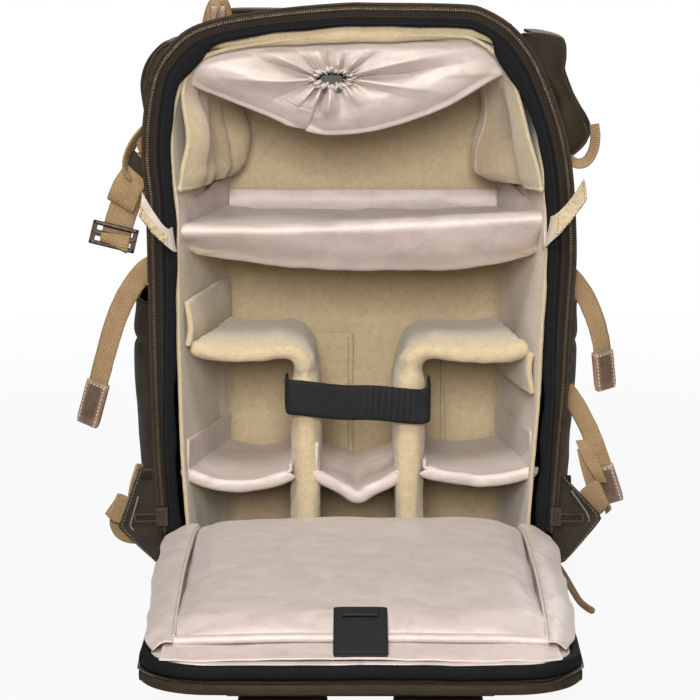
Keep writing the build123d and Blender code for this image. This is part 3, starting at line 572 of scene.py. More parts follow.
class Graph:
    """One material's node tree."""

    def __init__(self, name: str) -> None:
        """Start a material with an empty tree."""
        self.material = bpy.data.materials.new(name)
        self.material.use_nodes = True
        self.tree = self.material.node_tree
        self.tree.nodes.clear()
        self._coords: Value | None = None
        self._uv: Value | None = None

    def node(self, kind: str, settings: dict[str, object] | None = None,
             inputs: dict[str | int, object] | None = None) -> bpy.types.Node:
        """Add a node.

        Args:
            kind: Blender's node type.
            settings: Properties that are set first.
            inputs: Values or links of its sockets, by name or number.

        Returns:
            The node.
        """
        made = self.tree.nodes.new(kind)
        for key, value in (settings or {}).items():
            setattr(made, key, value)
        for key, value in (inputs or {}).items():
            socket = made.inputs[key]
            if isinstance(value, Value):
                self.tree.links.new(value.socket, socket)
            elif isinstance(value, tuple) and len(value) == 3 and socket.type == "RGBA":
                socket.default_value = (*value, 1.0)
            else:
                socket.default_value = value
        return made

    @property
    def coords(self) -> Value:
        """Object coordinates in metres."""
        if self._coords is None:
            self._coords = Value(self, self.node("ShaderNodeTexCoord").outputs["Object"])
        return self._coords

    @property
    def uv(self) -> Value:
        """The piece's own map, in metres."""
        if self._uv is None:
            self._uv = Value(self, self.node("ShaderNodeTexCoord").outputs["UV"])
        return self._uv

    def axis(self, vector: Value, name: str) -> Value:
        """One component of a vector."""
        split = self.node("ShaderNodeSeparateXYZ", inputs={0: vector})
        return Value(self, split.outputs[name])

    def stretched(self, vector: Value, scale: tuple[float, float, float]) -> Value:
        """A vector scaled by axis."""
        made = self.node("ShaderNodeVectorMath", {"operation": "MULTIPLY"}, {0: vector, 1: scale})
        return Value(self, made.outputs[0])

    def noise(self, scale: float, detail: float = 2.0, rough: float = 0.5, vector: Value | None = None,
              warp: float = 0.0) -> Value:
        """Noise between 0 and 1; scale counts features per metre."""
        made = self.node("ShaderNodeTexNoise", None, {"Vector": vector or self.coords, "Scale": scale,
                                                      "Detail": detail, "Roughness": rough,
                                                      "Distortion": warp})
        return Value(self, made.outputs[0])

    def cells(self, scale: float, vector: Value | None = None) -> Value:
        """Distance to the nearest cell centre; scale counts cells per metre."""
        made = self.node("ShaderNodeTexVoronoi", None, {"Vector": vector or self.coords, "Scale": scale})
        return Value(self, made.outputs["Distance"])

    def wear(self) -> Value:
        """How sharp an edge is, with 0.5 on a flat surface."""
        return Value(self, self.node("ShaderNodeNewGeometry").outputs["Pointiness"])

    def ramp(self, value: Value, stops: Sequence[tuple[float, tuple[float, float, float]]]) -> Value:
        """Turn a value into a colour by stops."""
        made = self.node("ShaderNodeValToRGB", None, {0: value})
        band_ = made.color_ramp
        while len(band_.elements) < len(stops):
            band_.elements.new(0.5)
        for element, (place, colour) in zip(band_.elements, stops):
            element.position = place
            element.color = (*colour, 1.0)
        return Value(self, made.outputs[0])

    def mix(self, factor: Value | float, first: Value | tuple, second: Value | tuple) -> Value:
        """Blend two colours."""
        made = self.node("ShaderNodeMix", {"data_type": "RGBA", "blend_type": "MIX"},
                         {0: factor, 6: first, 7: second})
        return Value(self, made.outputs[2])

    def bump(self, height: Value, distance: float, strength: float = 1.0,
             under: Value | None = None) -> Value:
        """Surface relief; distance is the relief's depth in millimetres."""
        inputs: dict[str | int, object] = {"Height": height, "Distance": distance * MM, "Strength": strength}
        if under is not None:
            inputs["Normal"] = under
        return Value(self, self.node("ShaderNodeBump", None, inputs).outputs[0])

    def surface(self, **sockets: object) -> None:
        """End the tree in a Principled surface; keyword names use _ for a space."""
        named = {key.replace("_", " "): value for key, value in sockets.items()}
        shader = self.node("ShaderNodeBsdfPrincipled", None, named)
        output = self.node("ShaderNodeOutputMaterial")
        self.tree.links.new(shader.outputs[0], output.inputs[0])


Colour = tuple[float, float, float]


def shade(colour: Colour, factor: float) -> Colour:
    """A colour made darker or lighter by a factor."""
    return tuple(min(1.0, c * factor) for c in colour)


# ------------------------------------------------------------------ finishes
@dataclass(frozen=True)
class Finish:
    """A surface finish, made into one material the first time that it is used."""

    name: str
    slot: str
    colour: Colour
    roughness: float = 0.8

    def material(self) -> bpy.types.Material:
        """Return the finish's material, building it once."""
        label = f"{self.name}_finish"
        found = bpy.data.materials.get(label)
        if found is None:
            graph = Graph(label)
            self.paint(graph)
            found = graph.material
            found.diffuse_color = (*self.colour, 1.0)
        return found

    def paint(self, g: Graph) -> None:
        """Build the shader graph."""
        g.surface(Base_Color=self.colour, Roughness=self.roughness)


@dataclass(frozen=True)
class WaxedCanvas(Finish):
    """Heavy waxed cotton: fine plain weave, cloudy wax, paler rubbed edges."""

    roughness: float = 0.62
    weave: float = 1150.0
    rub: float = 1.0

    def paint(self, g: Graph) -> None:
        """Build the shader graph."""
        cloud = g.noise(14, 5, 0.62, warp=0.6)
        streak = g.noise(60, 4, 0.6, g.stretched(g.coords, (1.0, 1.0, 0.35)))
        fleck = g.noise(self.weave, 1, 0.5)
        rubbed = g.wear().above(0.525, 0.05) * g.noise(120, 3).above(0.42, 0.3)
        base = g.ramp(cloud * 0.55 + streak * 0.45, [(0.3, shade(self.colour, 0.62)), (0.5, self.colour),
                                                      (0.72, shade(self.colour, 1.42))])
        flecked = g.mix((fleck - 0.35) * 0.9, base, shade(self.colour, 1.75))
        worn = g.mix(rubbed * 0.4 * self.rub, flecked, shade(self.colour, 2.4))
        rough = self.roughness + (cloud - 0.5) * 0.3
        relief = g.bump(g.noise(self.weave, 1, 0.5), 0.35, 0.55, g.bump(g.noise(90, 4, 0.6), 1.4, 0.35))
        g.surface(Base_Color=worn, Roughness=rough, Normal=relief, Specular_IOR_Level=0.07)


@dataclass(frozen=True)
class Fleece(Finish):
    """Brushed loop lining: short nap, soft clumps with painted shade between them, a velvety rim light."""

    roughness: float = 0.95

    def paint(self, g: Graph) -> None:
        """Build the shader graph."""
        clump = g.noise(210, 4, 0.65)
        nap = g.noise(900, 2, 0.6)
        cloud = g.noise(22, 3, 0.6, warp=0.8)
        # Painted shade and highlight: the colour is darker where the nap and clump bumps are low and lighter
        # where they are high.
        shaded_nap = g.ramp(clump * 0.55 + nap * 0.45, [(0.3, shade(self.colour, 0.80)), (0.5, self.colour),
                                                 (0.7, shade(self.colour, 1.15))])
        base = g.mix(cloud.above(0.5, 0.5) * 0.3, shaded_nap, shade(self.colour, 0.80))
        relief = g.bump(nap, 0.8, 0.55, g.bump(clump, 1.6, 0.55))
        g.surface(Base_Color=base, Roughness=self.roughness, Normal=relief, Sheen_Weight=0.35,
                  Sheen_Roughness=0.5, Specular_IOR_Level=0.1)


@dataclass(frozen=True)
class Satin(Finish):
    """Dense nylon with a dull shine, faint rib and soft creases with painted shade and highlight."""

    roughness: float = 0.44

    def paint(self, g: Graph) -> None:
        """Build the shader graph."""
        rib = (g.axis(g.coords, "X") * 4200.0 + g.axis(g.coords, "Z") * 2600.0).sine()
        crease = g.noise(42, 4, 0.55, warp=1.1)
        fine = g.noise(240, 2, 0.5)
        # Painted shade and highlight: the colour darkens where the crease bump is low and lightens where it
        # is high; the finer noise is random tone.
        base = g.ramp(crease * 0.7 + fine * 0.3, [(0.3, shade(self.colour, 0.86)), (0.52, self.colour),
                                                 (0.75, shade(self.colour, 1.1))])
        rough = self.roughness + (fine - 0.5) * 0.16
        relief = g.bump(rib, 0.05, 0.25, g.bump(crease, 2.2, 0.45))
        g.surface(Base_Color=base, Roughness=rough, Normal=relief, Sheen_Weight=0.12, Specular_IOR_Level=0.5)


@dataclass(frozen=True)
class Webbing(Finish):
    """Woven strap: ribs across the width and a twill along it, from the strap's own map, with painted shade
    in the rib hollows and painted highlight on the ribs.
    """

    roughness: float = 0.7
    rib: float = 1.25

    def paint(self, g: Graph) -> None:
        """Build the shader graph."""
        u = g.axis(g.uv, "X")
        v = g.axis(g.uv, "Y")
        turn = FULL_TURN / (self.rib * MM)
        weft = (v * turn).sine()
        warp = (u * turn * 0.8 + v * turn * 0.5).sine()
        rows = weft * 0.6 + warp * 0.4
        wear = g.noise(70, 4, 0.6)
        # Painted shade and highlight: the colour runs from dark in the rib hollows to light on the ribs, from
        # the same wave as the bump.
        base = g.mix((rows * 0.35 + 0.5).clamp(), shade(self.colour, 0.5), shade(self.colour, 1.4))
        # Random dirt patches over the painted rib shading.
        shaded_and_dirty = g.mix(wear.above(0.55, 0.3) * 0.35, base, shade(self.colour, 0.6))
        g.surface(Base_Color=shaded_and_dirty, Roughness=self.roughness, Normal=g.bump(rows, 0.35, 0.9),
                  Specular_IOR_Level=0.2)


@dataclass(frozen=True)
class Binding(Finish):
    """Ribbed tape folded over a raw edge; fine ribs run across the edge, with painted shade between them and
    painted highlight on them.
    """

    roughness: float = 0.68
    rib: float = 1.5

    def paint(self, g: Graph) -> None:
        """Build the shader graph."""
        v = g.axis(g.uv, "Y")
        ribs = (v * (FULL_TURN / (self.rib * MM))).sine()
        lint = g.noise(700, 2, 0.6).above(0.66, 0.1)
        # Painted shade and highlight: the colour runs from dark between the ribs to light on them, from the
        # same wave as the bump.
        base = g.mix((ribs * 0.5 + 0.5) * 0.7, shade(self.colour, 0.6), shade(self.colour, 1.6))
        # Random lint specks over the painted rib shading.
        shaded_and_dusty = g.mix(lint * 0.2, base, (0.03, 0.03, 0.03))
        g.surface(Base_Color=shaded_and_dusty, Roughness=self.roughness, Normal=g.bump(ribs, 0.2, 0.5),
                  Specular_IOR_Level=0.05)


@dataclass(frozen=True)
class Leather(Finish):
    """Oiled cowhide: pebbled grain, painted shade in the creases with painted highlight on their rises, and a
    paler cut edge.
    """

    roughness: float = 0.5

    def paint(self, g: Graph) -> None:
        """Build the shader graph."""
        pebble = g.cells(900)
        cloud = g.noise(55, 4, 0.6, warp=0.7)
        edge = g.wear().above(0.53, 0.05)
        # Painted shade and highlight: the colour follows the cloud that also makes the crease bump, darker in
        # its hollows and lighter on its rises.
        base = g.ramp(cloud, [(0.32, shade(self.colour, 0.6)), (0.52, self.colour),
                              (0.74, shade(self.colour, 1.4))])
        worn = g.mix(edge * 0.7, base, (0.52, 0.36, 0.27))
        relief = g.bump(pebble, 0.3, 0.5, g.bump(cloud, 0.6, 0.4))
        g.surface(Base_Color=worn, Roughness=self.roughness + (cloud - 0.5) * 0.3, Normal=relief,
                  Specular_IOR_Level=0.45)


@dataclass(frozen=True)
class Metal(Finish):
    """Plated metal with dulled hollows and small scratches."""

    roughness: float = 0.38
    tarnish: float = 0.6

    def paint(self, g: Graph) -> None:
        """Build the shader graph."""
        cloud = g.noise(160, 4, 0.65)
        scratch = g.noise(1500, 1, 0.5, g.stretched(g.coords, (1.0, 1.0, 0.12)))
        base = g.mix(cloud.above(0.5, 0.35) * self.tarnish, self.colour, shade(self.colour, 0.4))
        g.surface(Base_Color=base, Roughness=self.roughness + (cloud - 0.4) * 0.4, Metallic=1.0,
                  Normal=g.bump(scratch, 0.05, 0.4))


@dataclass(frozen=True)
class Thread(Finish):
    """Twisted sewing thread or cord with a diagonal lay, painted darker in the lay's grooves and lighter on
    its strands.
    """

    roughness: float = 0.75

    def paint(self, g: Graph) -> None:
        """Build the shader graph."""
        lay = (g.axis(g.uv, "Y") * 3400.0 + g.axis(g.uv, "X") * 2600.0).sine()
        fuzz = g.noise(800, 2, 0.6)
        # Painted shade and highlight: darker in the grooves of the lay and lighter on its strands, from the
        # same wave as the bump; the fuzz is random tone.
        base = g.mix((lay * 0.5 + 0.5) * 0.55 + fuzz * 0.3, shade(self.colour, 0.6), shade(self.colour, 1.25))
        g.surface(Base_Color=base, Roughness=self.roughness, Normal=g.bump(lay, 0.3, 0.7),
                  Specular_IOR_Level=0.2)


@dataclass(frozen=True)
class Plastic(Finish):
    """Moulded nylon with a fine spark texture."""

    roughness: float = 0.45

    def paint(self, g: Graph) -> None:
        """Build the shader graph."""
        grain = g.noise(1300, 2, 0.6)
        base = g.mix(grain * 0.4, self.colour, shade(self.colour, 1.6))
        g.surface(Base_Color=base, Roughness=self.roughness + (grain - 0.5) * 0.15,
                  Normal=g.bump(grain, 0.06, 0.5))


@dataclass(frozen=True)
class SpacerMesh(Finish):
    """Airy knitted mesh over foam: a lattice of small round holes, with painted shade in the holes."""

    roughness: float = 0.85

    def paint(self, g: Graph) -> None:
        """Build the shader graph."""
        hole = g.cells(330).above(0.33, 0.2)
        fuzz = g.noise(500, 2)
        # Painted shade: the holes, which the bump sinks, are painted dark; the fuzz is random tone.
        base = g.mix(hole * 0.8 + fuzz * 0.15, shade(self.colour, 0.3), shade(self.colour, 1.4))
        g.surface(Base_Color=base, Roughness=self.roughness, Normal=g.bump(hole, 0.6, 0.7), Sheen_Weight=0.1)


CANVAS = WaxedCanvas("waxed_canvas", "canvas", (0.0250, 0.0178, 0.0112))
BOOT = WaxedCanvas("boot_canvas", "boot_canvas", (0.024, 0.0172, 0.0115))
WING = WaxedCanvas("wing_canvas", "wing_canvas", (0.0290, 0.0215, 0.0145))
FACING = WaxedCanvas("facing_canvas", "facing_canvas", (0.0150, 0.0108, 0.0072), rub=0.2)
FLEECE = Fleece("brushed_fleece", "fleece", (0.50, 0.395, 0.245))
SATIN = Satin("satin_nylon", "satin", (0.52, 0.432, 0.385))
BINDING = Binding("bound_edge", "binding", (0.0085, 0.0085, 0.0092))
TEETH = Metal("antique_teeth", "brass_teeth", (0.105, 0.082, 0.058), 0.36)
ZIP_METAL = Metal("dark_zip_metal", "zip_metal", (0.060, 0.048, 0.038), 0.4)
BLACK_WEB = Webbing("black_webbing", "black_webbing", (0.018, 0.018, 0.0188))
TAN_WEB = Webbing("tan_webbing", "tan_webbing", (0.33, 0.215, 0.108))
LEATHER = Leather("oiled_leather", "leather", (0.085, 0.050, 0.029))
DARK_METAL = Metal("bronzed_steel", "dark_metal", (0.07, 0.055, 0.045), 0.42)
BLACK_CORD = Thread("black_cord", "black_cord", (0.02, 0.02, 0.024))
TAN_CORD = Thread("tan_cord", "tan_cord", (0.30, 0.20, 0.10))
CREAM_THREAD = Thread("cream_thread", "tan_webbing", (0.62, 0.52, 0.38))
BROWN_THREAD = Thread("brown_thread", "canvas", (0.10, 0.070, 0.045))
PALE_THREAD = Thread("pale_thread", "fleece", (0.52, 0.40, 0.27))
DARK_THREAD = Thread("dark_thread", "canvas", (0.035, 0.028, 0.022))
GREY_THREAD = Thread("grey_bar_tack", "wing_canvas", (0.20, 0.20, 0.17))
CUT_LEATHER = Leather("cut_leather_edge", "leather", (0.42, 0.21, 0.13), 0.6)
BLACK_PLASTIC = Plastic("black_nylon", "black_plastic", (0.010, 0.010, 0.011))
SPRING = Metal("spring_steel", "spring_steel", (0.6, 0.6, 0.62), 0.3, 0.2)
PAD_MESH = SpacerMesh("pad_mesh", "mesh_pad", (0.05, 0.045, 0.04))


def settle(thing: bpy.types.Object, finish: Finish, *nodes: str, body: str | None = BODY) -> bpy.types.Object:
    """Dress a piece and hand it to the frame.

    Args:
        thing: The finished mesh.
        finish: Its finish.
        nodes: Frame nodes that it stands for.
        body: The body that it rides, or None to leave it unattached.

    Returns:
        The same object.
    """
    thing.data.materials.clear()
    thing.data.materials.append(finish.material())
    if nodes:
        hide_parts(*nodes)
    if body is not None:
        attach(thing, body)
    LOG.info("%s: %d faces, %s", thing.name, len(thing.data.polygons), finish.name)
    return thing


def redress(node: str, finish: Finish) -> None:
    """Give a frame node that stays visible a detailed finish."""
    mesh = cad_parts[node].data
    mesh.materials.clear()
    mesh.materials.append(finish.material())
    LOG.info("%s keeps its own shape, %s", node, finish.name)


# ------------------------------------------------------------------ repeats
@dataclass(frozen=True)
class Repeat:
    """A small shape set out along a path by a Geometry Nodes tree."""

    pitch: float
    length: float
    width: float
    height: float
    head: float = 0.0
    jitter: float = 0.0

    def tree(self) -> bpy.types.NodeTree:
        """Build the node tree, with its sizes as named inputs."""
        group = bpy.data.node_groups.new("set_out_along_path", "GeometryNodeTree")
        face = group.interface
        face.new_socket("Geometry", in_out="INPUT", socket_type="NodeSocketGeometry")
        for label in ("Pitch", "Length", "Width", "Height", "Head", "Jitter"):
            face.new_socket(label, in_out="INPUT", socket_type="NodeSocketFloat")
        face.new_socket("Facing", in_out="INPUT", socket_type="NodeSocketVector")
        face.new_socket("Material", in_out="INPUT", socket_type="NodeSocketMaterial")
        face.new_socket("Geometry", in_out="OUTPUT", socket_type="NodeSocketGeometry")
        nodes, links = group.nodes, group.links
        given = nodes.new("NodeGroupInput")
        result = nodes.new("NodeGroupOutput")

        def add(kind: str, settings: dict[str, object] | None = None, **wires: object) -> bpy.types.Node:
            """Add one node, with links or values by socket name."""
            made = nodes.new(kind)
            for key, value in (settings or {}).items():
                setattr(made, key, value)
            for key, value in wires.items():
                socket = made.inputs[key.replace("_", " ")]
                if isinstance(value, bpy.types.NodeSocket):
                    links.new(value, socket)
                else:
                    socket.default_value = value
            return made

        size = add("ShaderNodeCombineXYZ", X=given.outputs["Length"], Y=given.outputs["Width"],
                   Z=given.outputs["Height"])
        bar = add("GeometryNodeMeshCube", Size=size.outputs[0], Vertices_X=3, Vertices_Y=3, Vertices_Z=2)
        rounder = add("GeometryNodeSubdivisionSurface", Mesh=bar.outputs["Mesh"], Level=1)
        knob = add("GeometryNodeMeshCylinder", Vertices=6, Radius=given.outputs["Head"],
                   Depth=given.outputs["Height"])
        side = add("ShaderNodeMath", {"operation": "MULTIPLY"})
        links.new(given.outputs["Width"], side.inputs[0])
        side.inputs[1].default_value = -0.5
        shift = add("ShaderNodeCombineXYZ", Y=side.outputs[0])
        moved = add("GeometryNodeTransform", Geometry=knob.outputs["Mesh"], Translation=shift.outputs[0])
        both = nodes.new("GeometryNodeJoinGeometry")
        links.new(rounder.outputs[0], both.inputs[0])
        links.new(moved.outputs[0], both.inputs[0])
        spread = add("GeometryNodeResampleCurve", {"mode": "LENGTH"}, Curve=given.outputs["Geometry"],
                     Length=given.outputs["Pitch"])
        along = nodes.new("GeometryNodeInputTangent")
        turn = add("FunctionNodeAxesToRotation", {"primary_axis": "X", "secondary_axis": "Z"},
                   Primary_Axis=along.outputs[0], Secondary_Axis=given.outputs["Facing"])
        low = add("ShaderNodeMath", {"operation": "MULTIPLY"})
        links.new(given.outputs["Jitter"], low.inputs[0])
        low.inputs[1].default_value = -1.0
        wobble = nodes.new("FunctionNodeRandomValue")
        wobble.data_type = "FLOAT"
        links.new(low.outputs[0], wobble.inputs[2])
        links.new(given.outputs["Jitter"], wobble.inputs[3])
        wobble.inputs["Seed"].default_value = 7
        tilt = add("ShaderNodeCombineXYZ", Z=wobble.outputs[1])
        angle = add("FunctionNodeEulerToRotation", Euler=tilt.outputs[0])
        aimed = add("FunctionNodeRotateRotation", {"rotation_space": "LOCAL"}, Rotation=turn.outputs[0],
                    Rotate_By=angle.outputs[0])
        placed = add("GeometryNodeInstanceOnPoints", Points=spread.outputs[0], Instance=both.outputs[0],
                     Rotation=aimed.outputs[0])
        real = add("GeometryNodeRealizeInstances", Geometry=placed.outputs[0])
        painted = add("GeometryNodeSetMaterial", Geometry=real.outputs[0], Material=given.outputs["Material"])
        links.new(painted.outputs[0], result.inputs[0])
        return group

    def along(self, name: str, line: Array, facing: Sequence[float], finish: Finish,
              closed: bool = False) -> bpy.types.Object:
        """Set the shape out along a path.

        Args:
            name: Name of the new piece.
            line: The path in millimetres.
            facing: Direction that each copy's top looks.
            finish: Finish of the copies.
            closed: True when the path is a loop.

        Returns:
            A plain mesh object.
        """
        curve = bpy.data.curves.new(name, "CURVE")
        curve.dimensions = "3D"
        spline = curve.splines.new("POLY")
        spline.points.add(len(line) - 1)
        spline.points.foreach_set("co", np.column_stack([line * MM, np.ones(len(line))]).reshape(-1))
        spline.use_cyclic_u = closed
        holder = bpy.data.objects.new(name, curve)
        bpy.context.scene.collection.objects.link(holder)
        group = bpy.data.node_groups.get("set_out_along_path") or self.tree()
        modifier = holder.modifiers.new("repeat", "NODES")
        modifier.node_group = group
        values = {"Pitch": self.pitch * MM, "Length": self.length * MM, "Width": self.width * MM,
                  "Height": self.height * MM, "Head": max(self.head, 0.01) * MM, "Jitter": self.jitter,
                  "Facing": tuple(float(f) for f in facing), "Material": finish.material()}
        for item in group.interface.items_tree:
            if item.in_out == "INPUT" and item.name in values:
                modifier[item.identifier] = values[item.name]
        bpy.context.view_layer.update()
        mesh = bpy.data.meshes.new_from_object(holder.evaluated_get(bpy.context.evaluated_depsgraph_get()))
        bpy.data.objects.remove(holder)
        mesh.name = name
        made = bpy.data.objects.new(name, mesh)
        bpy.context.scene.collection.objects.link(made)
        if not mesh.materials:
            mesh.materials.append(finish.material())
        LOG.info("%s: %d faces, %s", name, len(mesh.polygons), finish.name)
        return made


TEETH_ROW = Repeat(pitch=1.75, length=1.0, width=1.7, height=1.4, head=0.6, jitter=0.04)
STITCH_ROW = Repeat(pitch=3.4, length=2.5, width=0.55, height=0.5, jitter=0.12)
FINE_STITCH_ROW = Repeat(pitch=2.7, length=1.9, width=0.5, height=0.4, jitter=0.12)


def stitch(name: str, line: Array, facing: Sequence[float], finish: Finish, body: str = BODY,
           row: Repeat = STITCH_ROW, closed: bool = False) -> bpy.types.Object:
    """Sew a row of stitches that rides with a body."""
    made = row.along(name, line, facing, finish, closed)
    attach(made, body)
    return made


# ------------------------------------------------------------------ stage, light and camera
@dataclass
class Studio:
    """A white room with soft light and the camera in front of the open bag."""

    target: Point = (-6.6, OPENING_Y, 182.0)
    distance: float = 2200.0
    elevation: float = 8.8
    lens: float = 155.0
    floor_size: float = 9000.0

    def camera(self) -> None:
        """Place the camera and make it the scene's."""
        data = bpy.data.cameras.new("studio_camera")
        data.lens = self.lens
        data.sensor_width = 36.0
        camera = bpy.data.objects.new("studio_camera", data)
        bpy.context.scene.collection.objects.link(camera)
        tilt = math.radians(self.elevation)
        x, y, z = self.target
        camera.location = (x * MM, (y - self.distance * math.cos(tilt)) * MM,
                           (z + self.distance * math.sin(tilt)) * MM)
        camera.rotation_euler = (math.pi / 2 - tilt, 0.0, 0.0)
        data.clip_end = 50.0
        bpy.context.scene.camera = camera

    def floor(self) -> None:
        """A pale floor that keeps the bag's shadow."""
        graph = Graph("pale_floor")
        path = graph.node("ShaderNodeLightPath")
        seen = (Value(graph, path.outputs["Is Camera Ray"]) + Value(graph, path.outputs["Is Glossy Ray"])
                + Value(graph, path.outputs["Is Transmission Ray"])).clamp()
        away = graph.node("ShaderNodeVectorMath", {"operation": "LENGTH"}, {0: graph.coords})
        far = Value(graph, away.outputs["Value"]).above(1.1, 0.9)
        matt = graph.node("ShaderNodeBsdfDiffuse", None, {"Color": (0.38, 0.38, 0.38)})
        white = graph.node("ShaderNodeEmission", None, {"Color": (1.0, 1.0, 1.0), "Strength": 1.0})
        both = graph.node("ShaderNodeMixShader", None, {0: seen * (far * 0.08 + 0.92)})
        graph.tree.links.new(matt.outputs[0], both.inputs[1])
        graph.tree.links.new(white.outputs[0], both.inputs[2])
        output = graph.node("ShaderNodeOutputMaterial")
        graph.tree.links.new(both.outputs[0], output.inputs[0])
        half = self.floor_size / 2
        points = np.array([(-half, -half, -0.4), (half, -half, -0.4), (half, half, -0.4),
                           (-half, half, -0.4)])
        ground = make_object("floor", points, [(0, 1, 2, 3)], recalc=False)
        ground.data.materials.append(graph.material)

    def lamp(self, name: str, place: Point, size: float, power: float, aim: Point = (0.0, -0.1, 0.2)) -> None:
        """Add one soft area lamp, places in metres."""
        data = bpy.data.lights.new(name, "AREA")
        data.size = size
        data.energy = power
        lamp = bpy.data.objects.new(name, data)
        lamp.location = place
        lamp.rotation_euler = (Vector(aim) - Vector(place)).to_track_quat("-Z", "Y").to_euler()
        bpy.context.scene.collection.objects.link(lamp)

    def light(self) -> None:
        """Soft key, fill and top light in a white room."""
        self.lamp("key", (-0.75, -2.0, 2.5), 0.8, 36.0)
        self.lamp("front", (-0.1, -3.2, 1.15), 0.9, 96.0)
        self.lamp("fill", (1.9, -1.5, 0.9), 1.5, 2.0)
        self.lamp("top", (0.1, -1.2, 2.4), 0.9, 27.0)
        self.lamp("rear", (0.3, 2.6, 1.5), 1.8, 42.0)
        world = bpy.data.worlds.new("white_room")
        world.use_nodes = True
        tree = world.node_tree
        tree.nodes.clear()
        path = tree.nodes.new("ShaderNodeLightPath")
        room = tree.nodes.new("ShaderNodeBackground")
        room.inputs[0].default_value = (1.0, 1.0, 1.0, 1.0)
        room.inputs[1].default_value = 0.065
        seen = tree.nodes.new("ShaderNodeBackground")
        seen.inputs[0].default_value = (1.0, 1.0, 1.0, 1.0)
        seen.inputs[1].default_value = 1.0
        mix = tree.nodes.new("ShaderNodeMixShader")
        output = tree.nodes.new("ShaderNodeOutputWorld")
        tree.links.new(path.outputs["Is Camera Ray"], mix.inputs[0])
        tree.links.new(room.outputs[0], mix.inputs[1])
        tree.links.new(seen.outputs[0], mix.inputs[2])
        tree.links.new(mix.outputs[0], output.inputs[0])
        bpy.context.scene.world = world
        bpy.context.scene.view_settings.view_transform = "Standard"

    def build(self) -> None:
        """Make the whole stage."""
        self.camera()
        self.floor()
        self.light()


# ------------------------------------------------------------------ the body's form
@dataclass
class BodyForm:
    """Outline of the standing bag at every depth; all outer pieces and the rim follow it."""

    near: float = OPENING_Y
    far: float = FAR_Y
    roof_fall: float = 26.0
    samples: int = 400
    sag: float = 2.2
    mouth: tuple[tuple[float, float], ...] = (
        (0, 0.6), (118, 0.6), (135, 7), (142, 26), (144.5, 60), (147.5, 104), (151, 150), (152.5, 186),
        (154.5, 222),
        (156, 252), (154.5, 290), (151.5, 320), (146, 345), (137, 371), (126, 395), (110, 415), (90, 427.5),
        (72, 431), (10, 432), (-8, 432), (-42, 429.5), (-76, 425.5), (-101, 421), (-122, 413.5), (-137, 400),
        (-148, 382), (-154, 350), (-155, 318), (-152.5, 290), (-151.5, 230), (-151, 178), (-149, 104),
        (-146, 60), (-143, 26), (-135, 7), (-118, 0.6))
    _cache: dict[float, Array] = field(default_factory=dict)

    def near_outline(self) -> Array:
        """The slack outline of the opening, from the middle of the base round by the right."""
        line = smooth_line(self.mouth, self.samples, closed=True)
        line[:, 1] = np.maximum(line[:, 1], 0.5)
        return line

    def far_outline(self) -> Array:
        """The squarer outline of the far face."""
        height = 432.0 - self.roof_fall
        half_low, half_top = 147.0, 155.5
        foot, shoulder = 20.0, 64.0
        points = [(0.0, 0.5), (half_low - foot, 0.5)]
        for a in np.linspace(-90, 0, 6)[1:]:
            points.append((half_low - foot + foot * math.cos(math.radians(a)),
                           foot + foot * math.sin(math.radians(a)) + 0.5))
        for a in np.linspace(0, 90, 10):
            points.append((half_top - shoulder + shoulder * math.cos(math.radians(a)),
                           height - shoulder + shoulder * math.sin(math.radians(a))))
        mirrored = [(-x, z) for x, z in reversed(points[1:])]
        return resample(np.array(points + mirrored), self.samples, closed=True)

    def ring(self, depth: float) -> Array:
        """The body's outline at one depth, as (x, z) rows."""
        key = round(depth, 3)
        if key not in self._cache:
            share = (depth - self.near) / (self.far - self.near)
            self._cache[key] = self.near_outline() * (1 - share) + self.far_outline() * share
        return self._cache[key]

    def inward(self, ring: Array) -> Array:
        """Unit vectors that point into the bag from an outline."""
        along = tangents(ring, closed=True)
        return np.stack([-along[:, 1], along[:, 0]], axis=1)

    def inset(self, depth: float, amount: float) -> Array:
        """The outline at a depth, drawn in by an amount."""
        ring = self.ring(depth)
        return ring + self.inward(ring) * amount

    def at(self, depth: float, amount: float) -> Array:
        """The inset outline as three-dimensional points."""
        flat = self.inset(depth, amount)
        return np.column_stack([flat[:, 0], np.full(len(flat), depth), flat[:, 1]])

    def arch(self, depth: float, amount: float, foot_left: float, foot_right: float, count: int) -> Array:
        """The inset outline over the top, between a height on the right and one on the left."""
        ring = self.at(depth, amount)
        start = next(i for i, p in enumerate(ring) if p[0] > 0 and p[2] >= foot_right)
        end = max(i for i, p in enumerate(ring) if p[0] < 0 and p[2] >= foot_left)
        return resample(ring[start:end + 1], count)

    def half_width(self, height: float, side: int, depth: float = OPENING_Y) -> float:
        """Distance from the middle to the outer wall at a height, on one side."""
        ring = self.ring(depth)
        same = ring[(ring[:, 0] * side > 60)]
        near = np.abs(same[:, 1] - height).argsort()[:2]
        return float(np.abs(same[near, 0]).mean())


FORM = BodyForm()


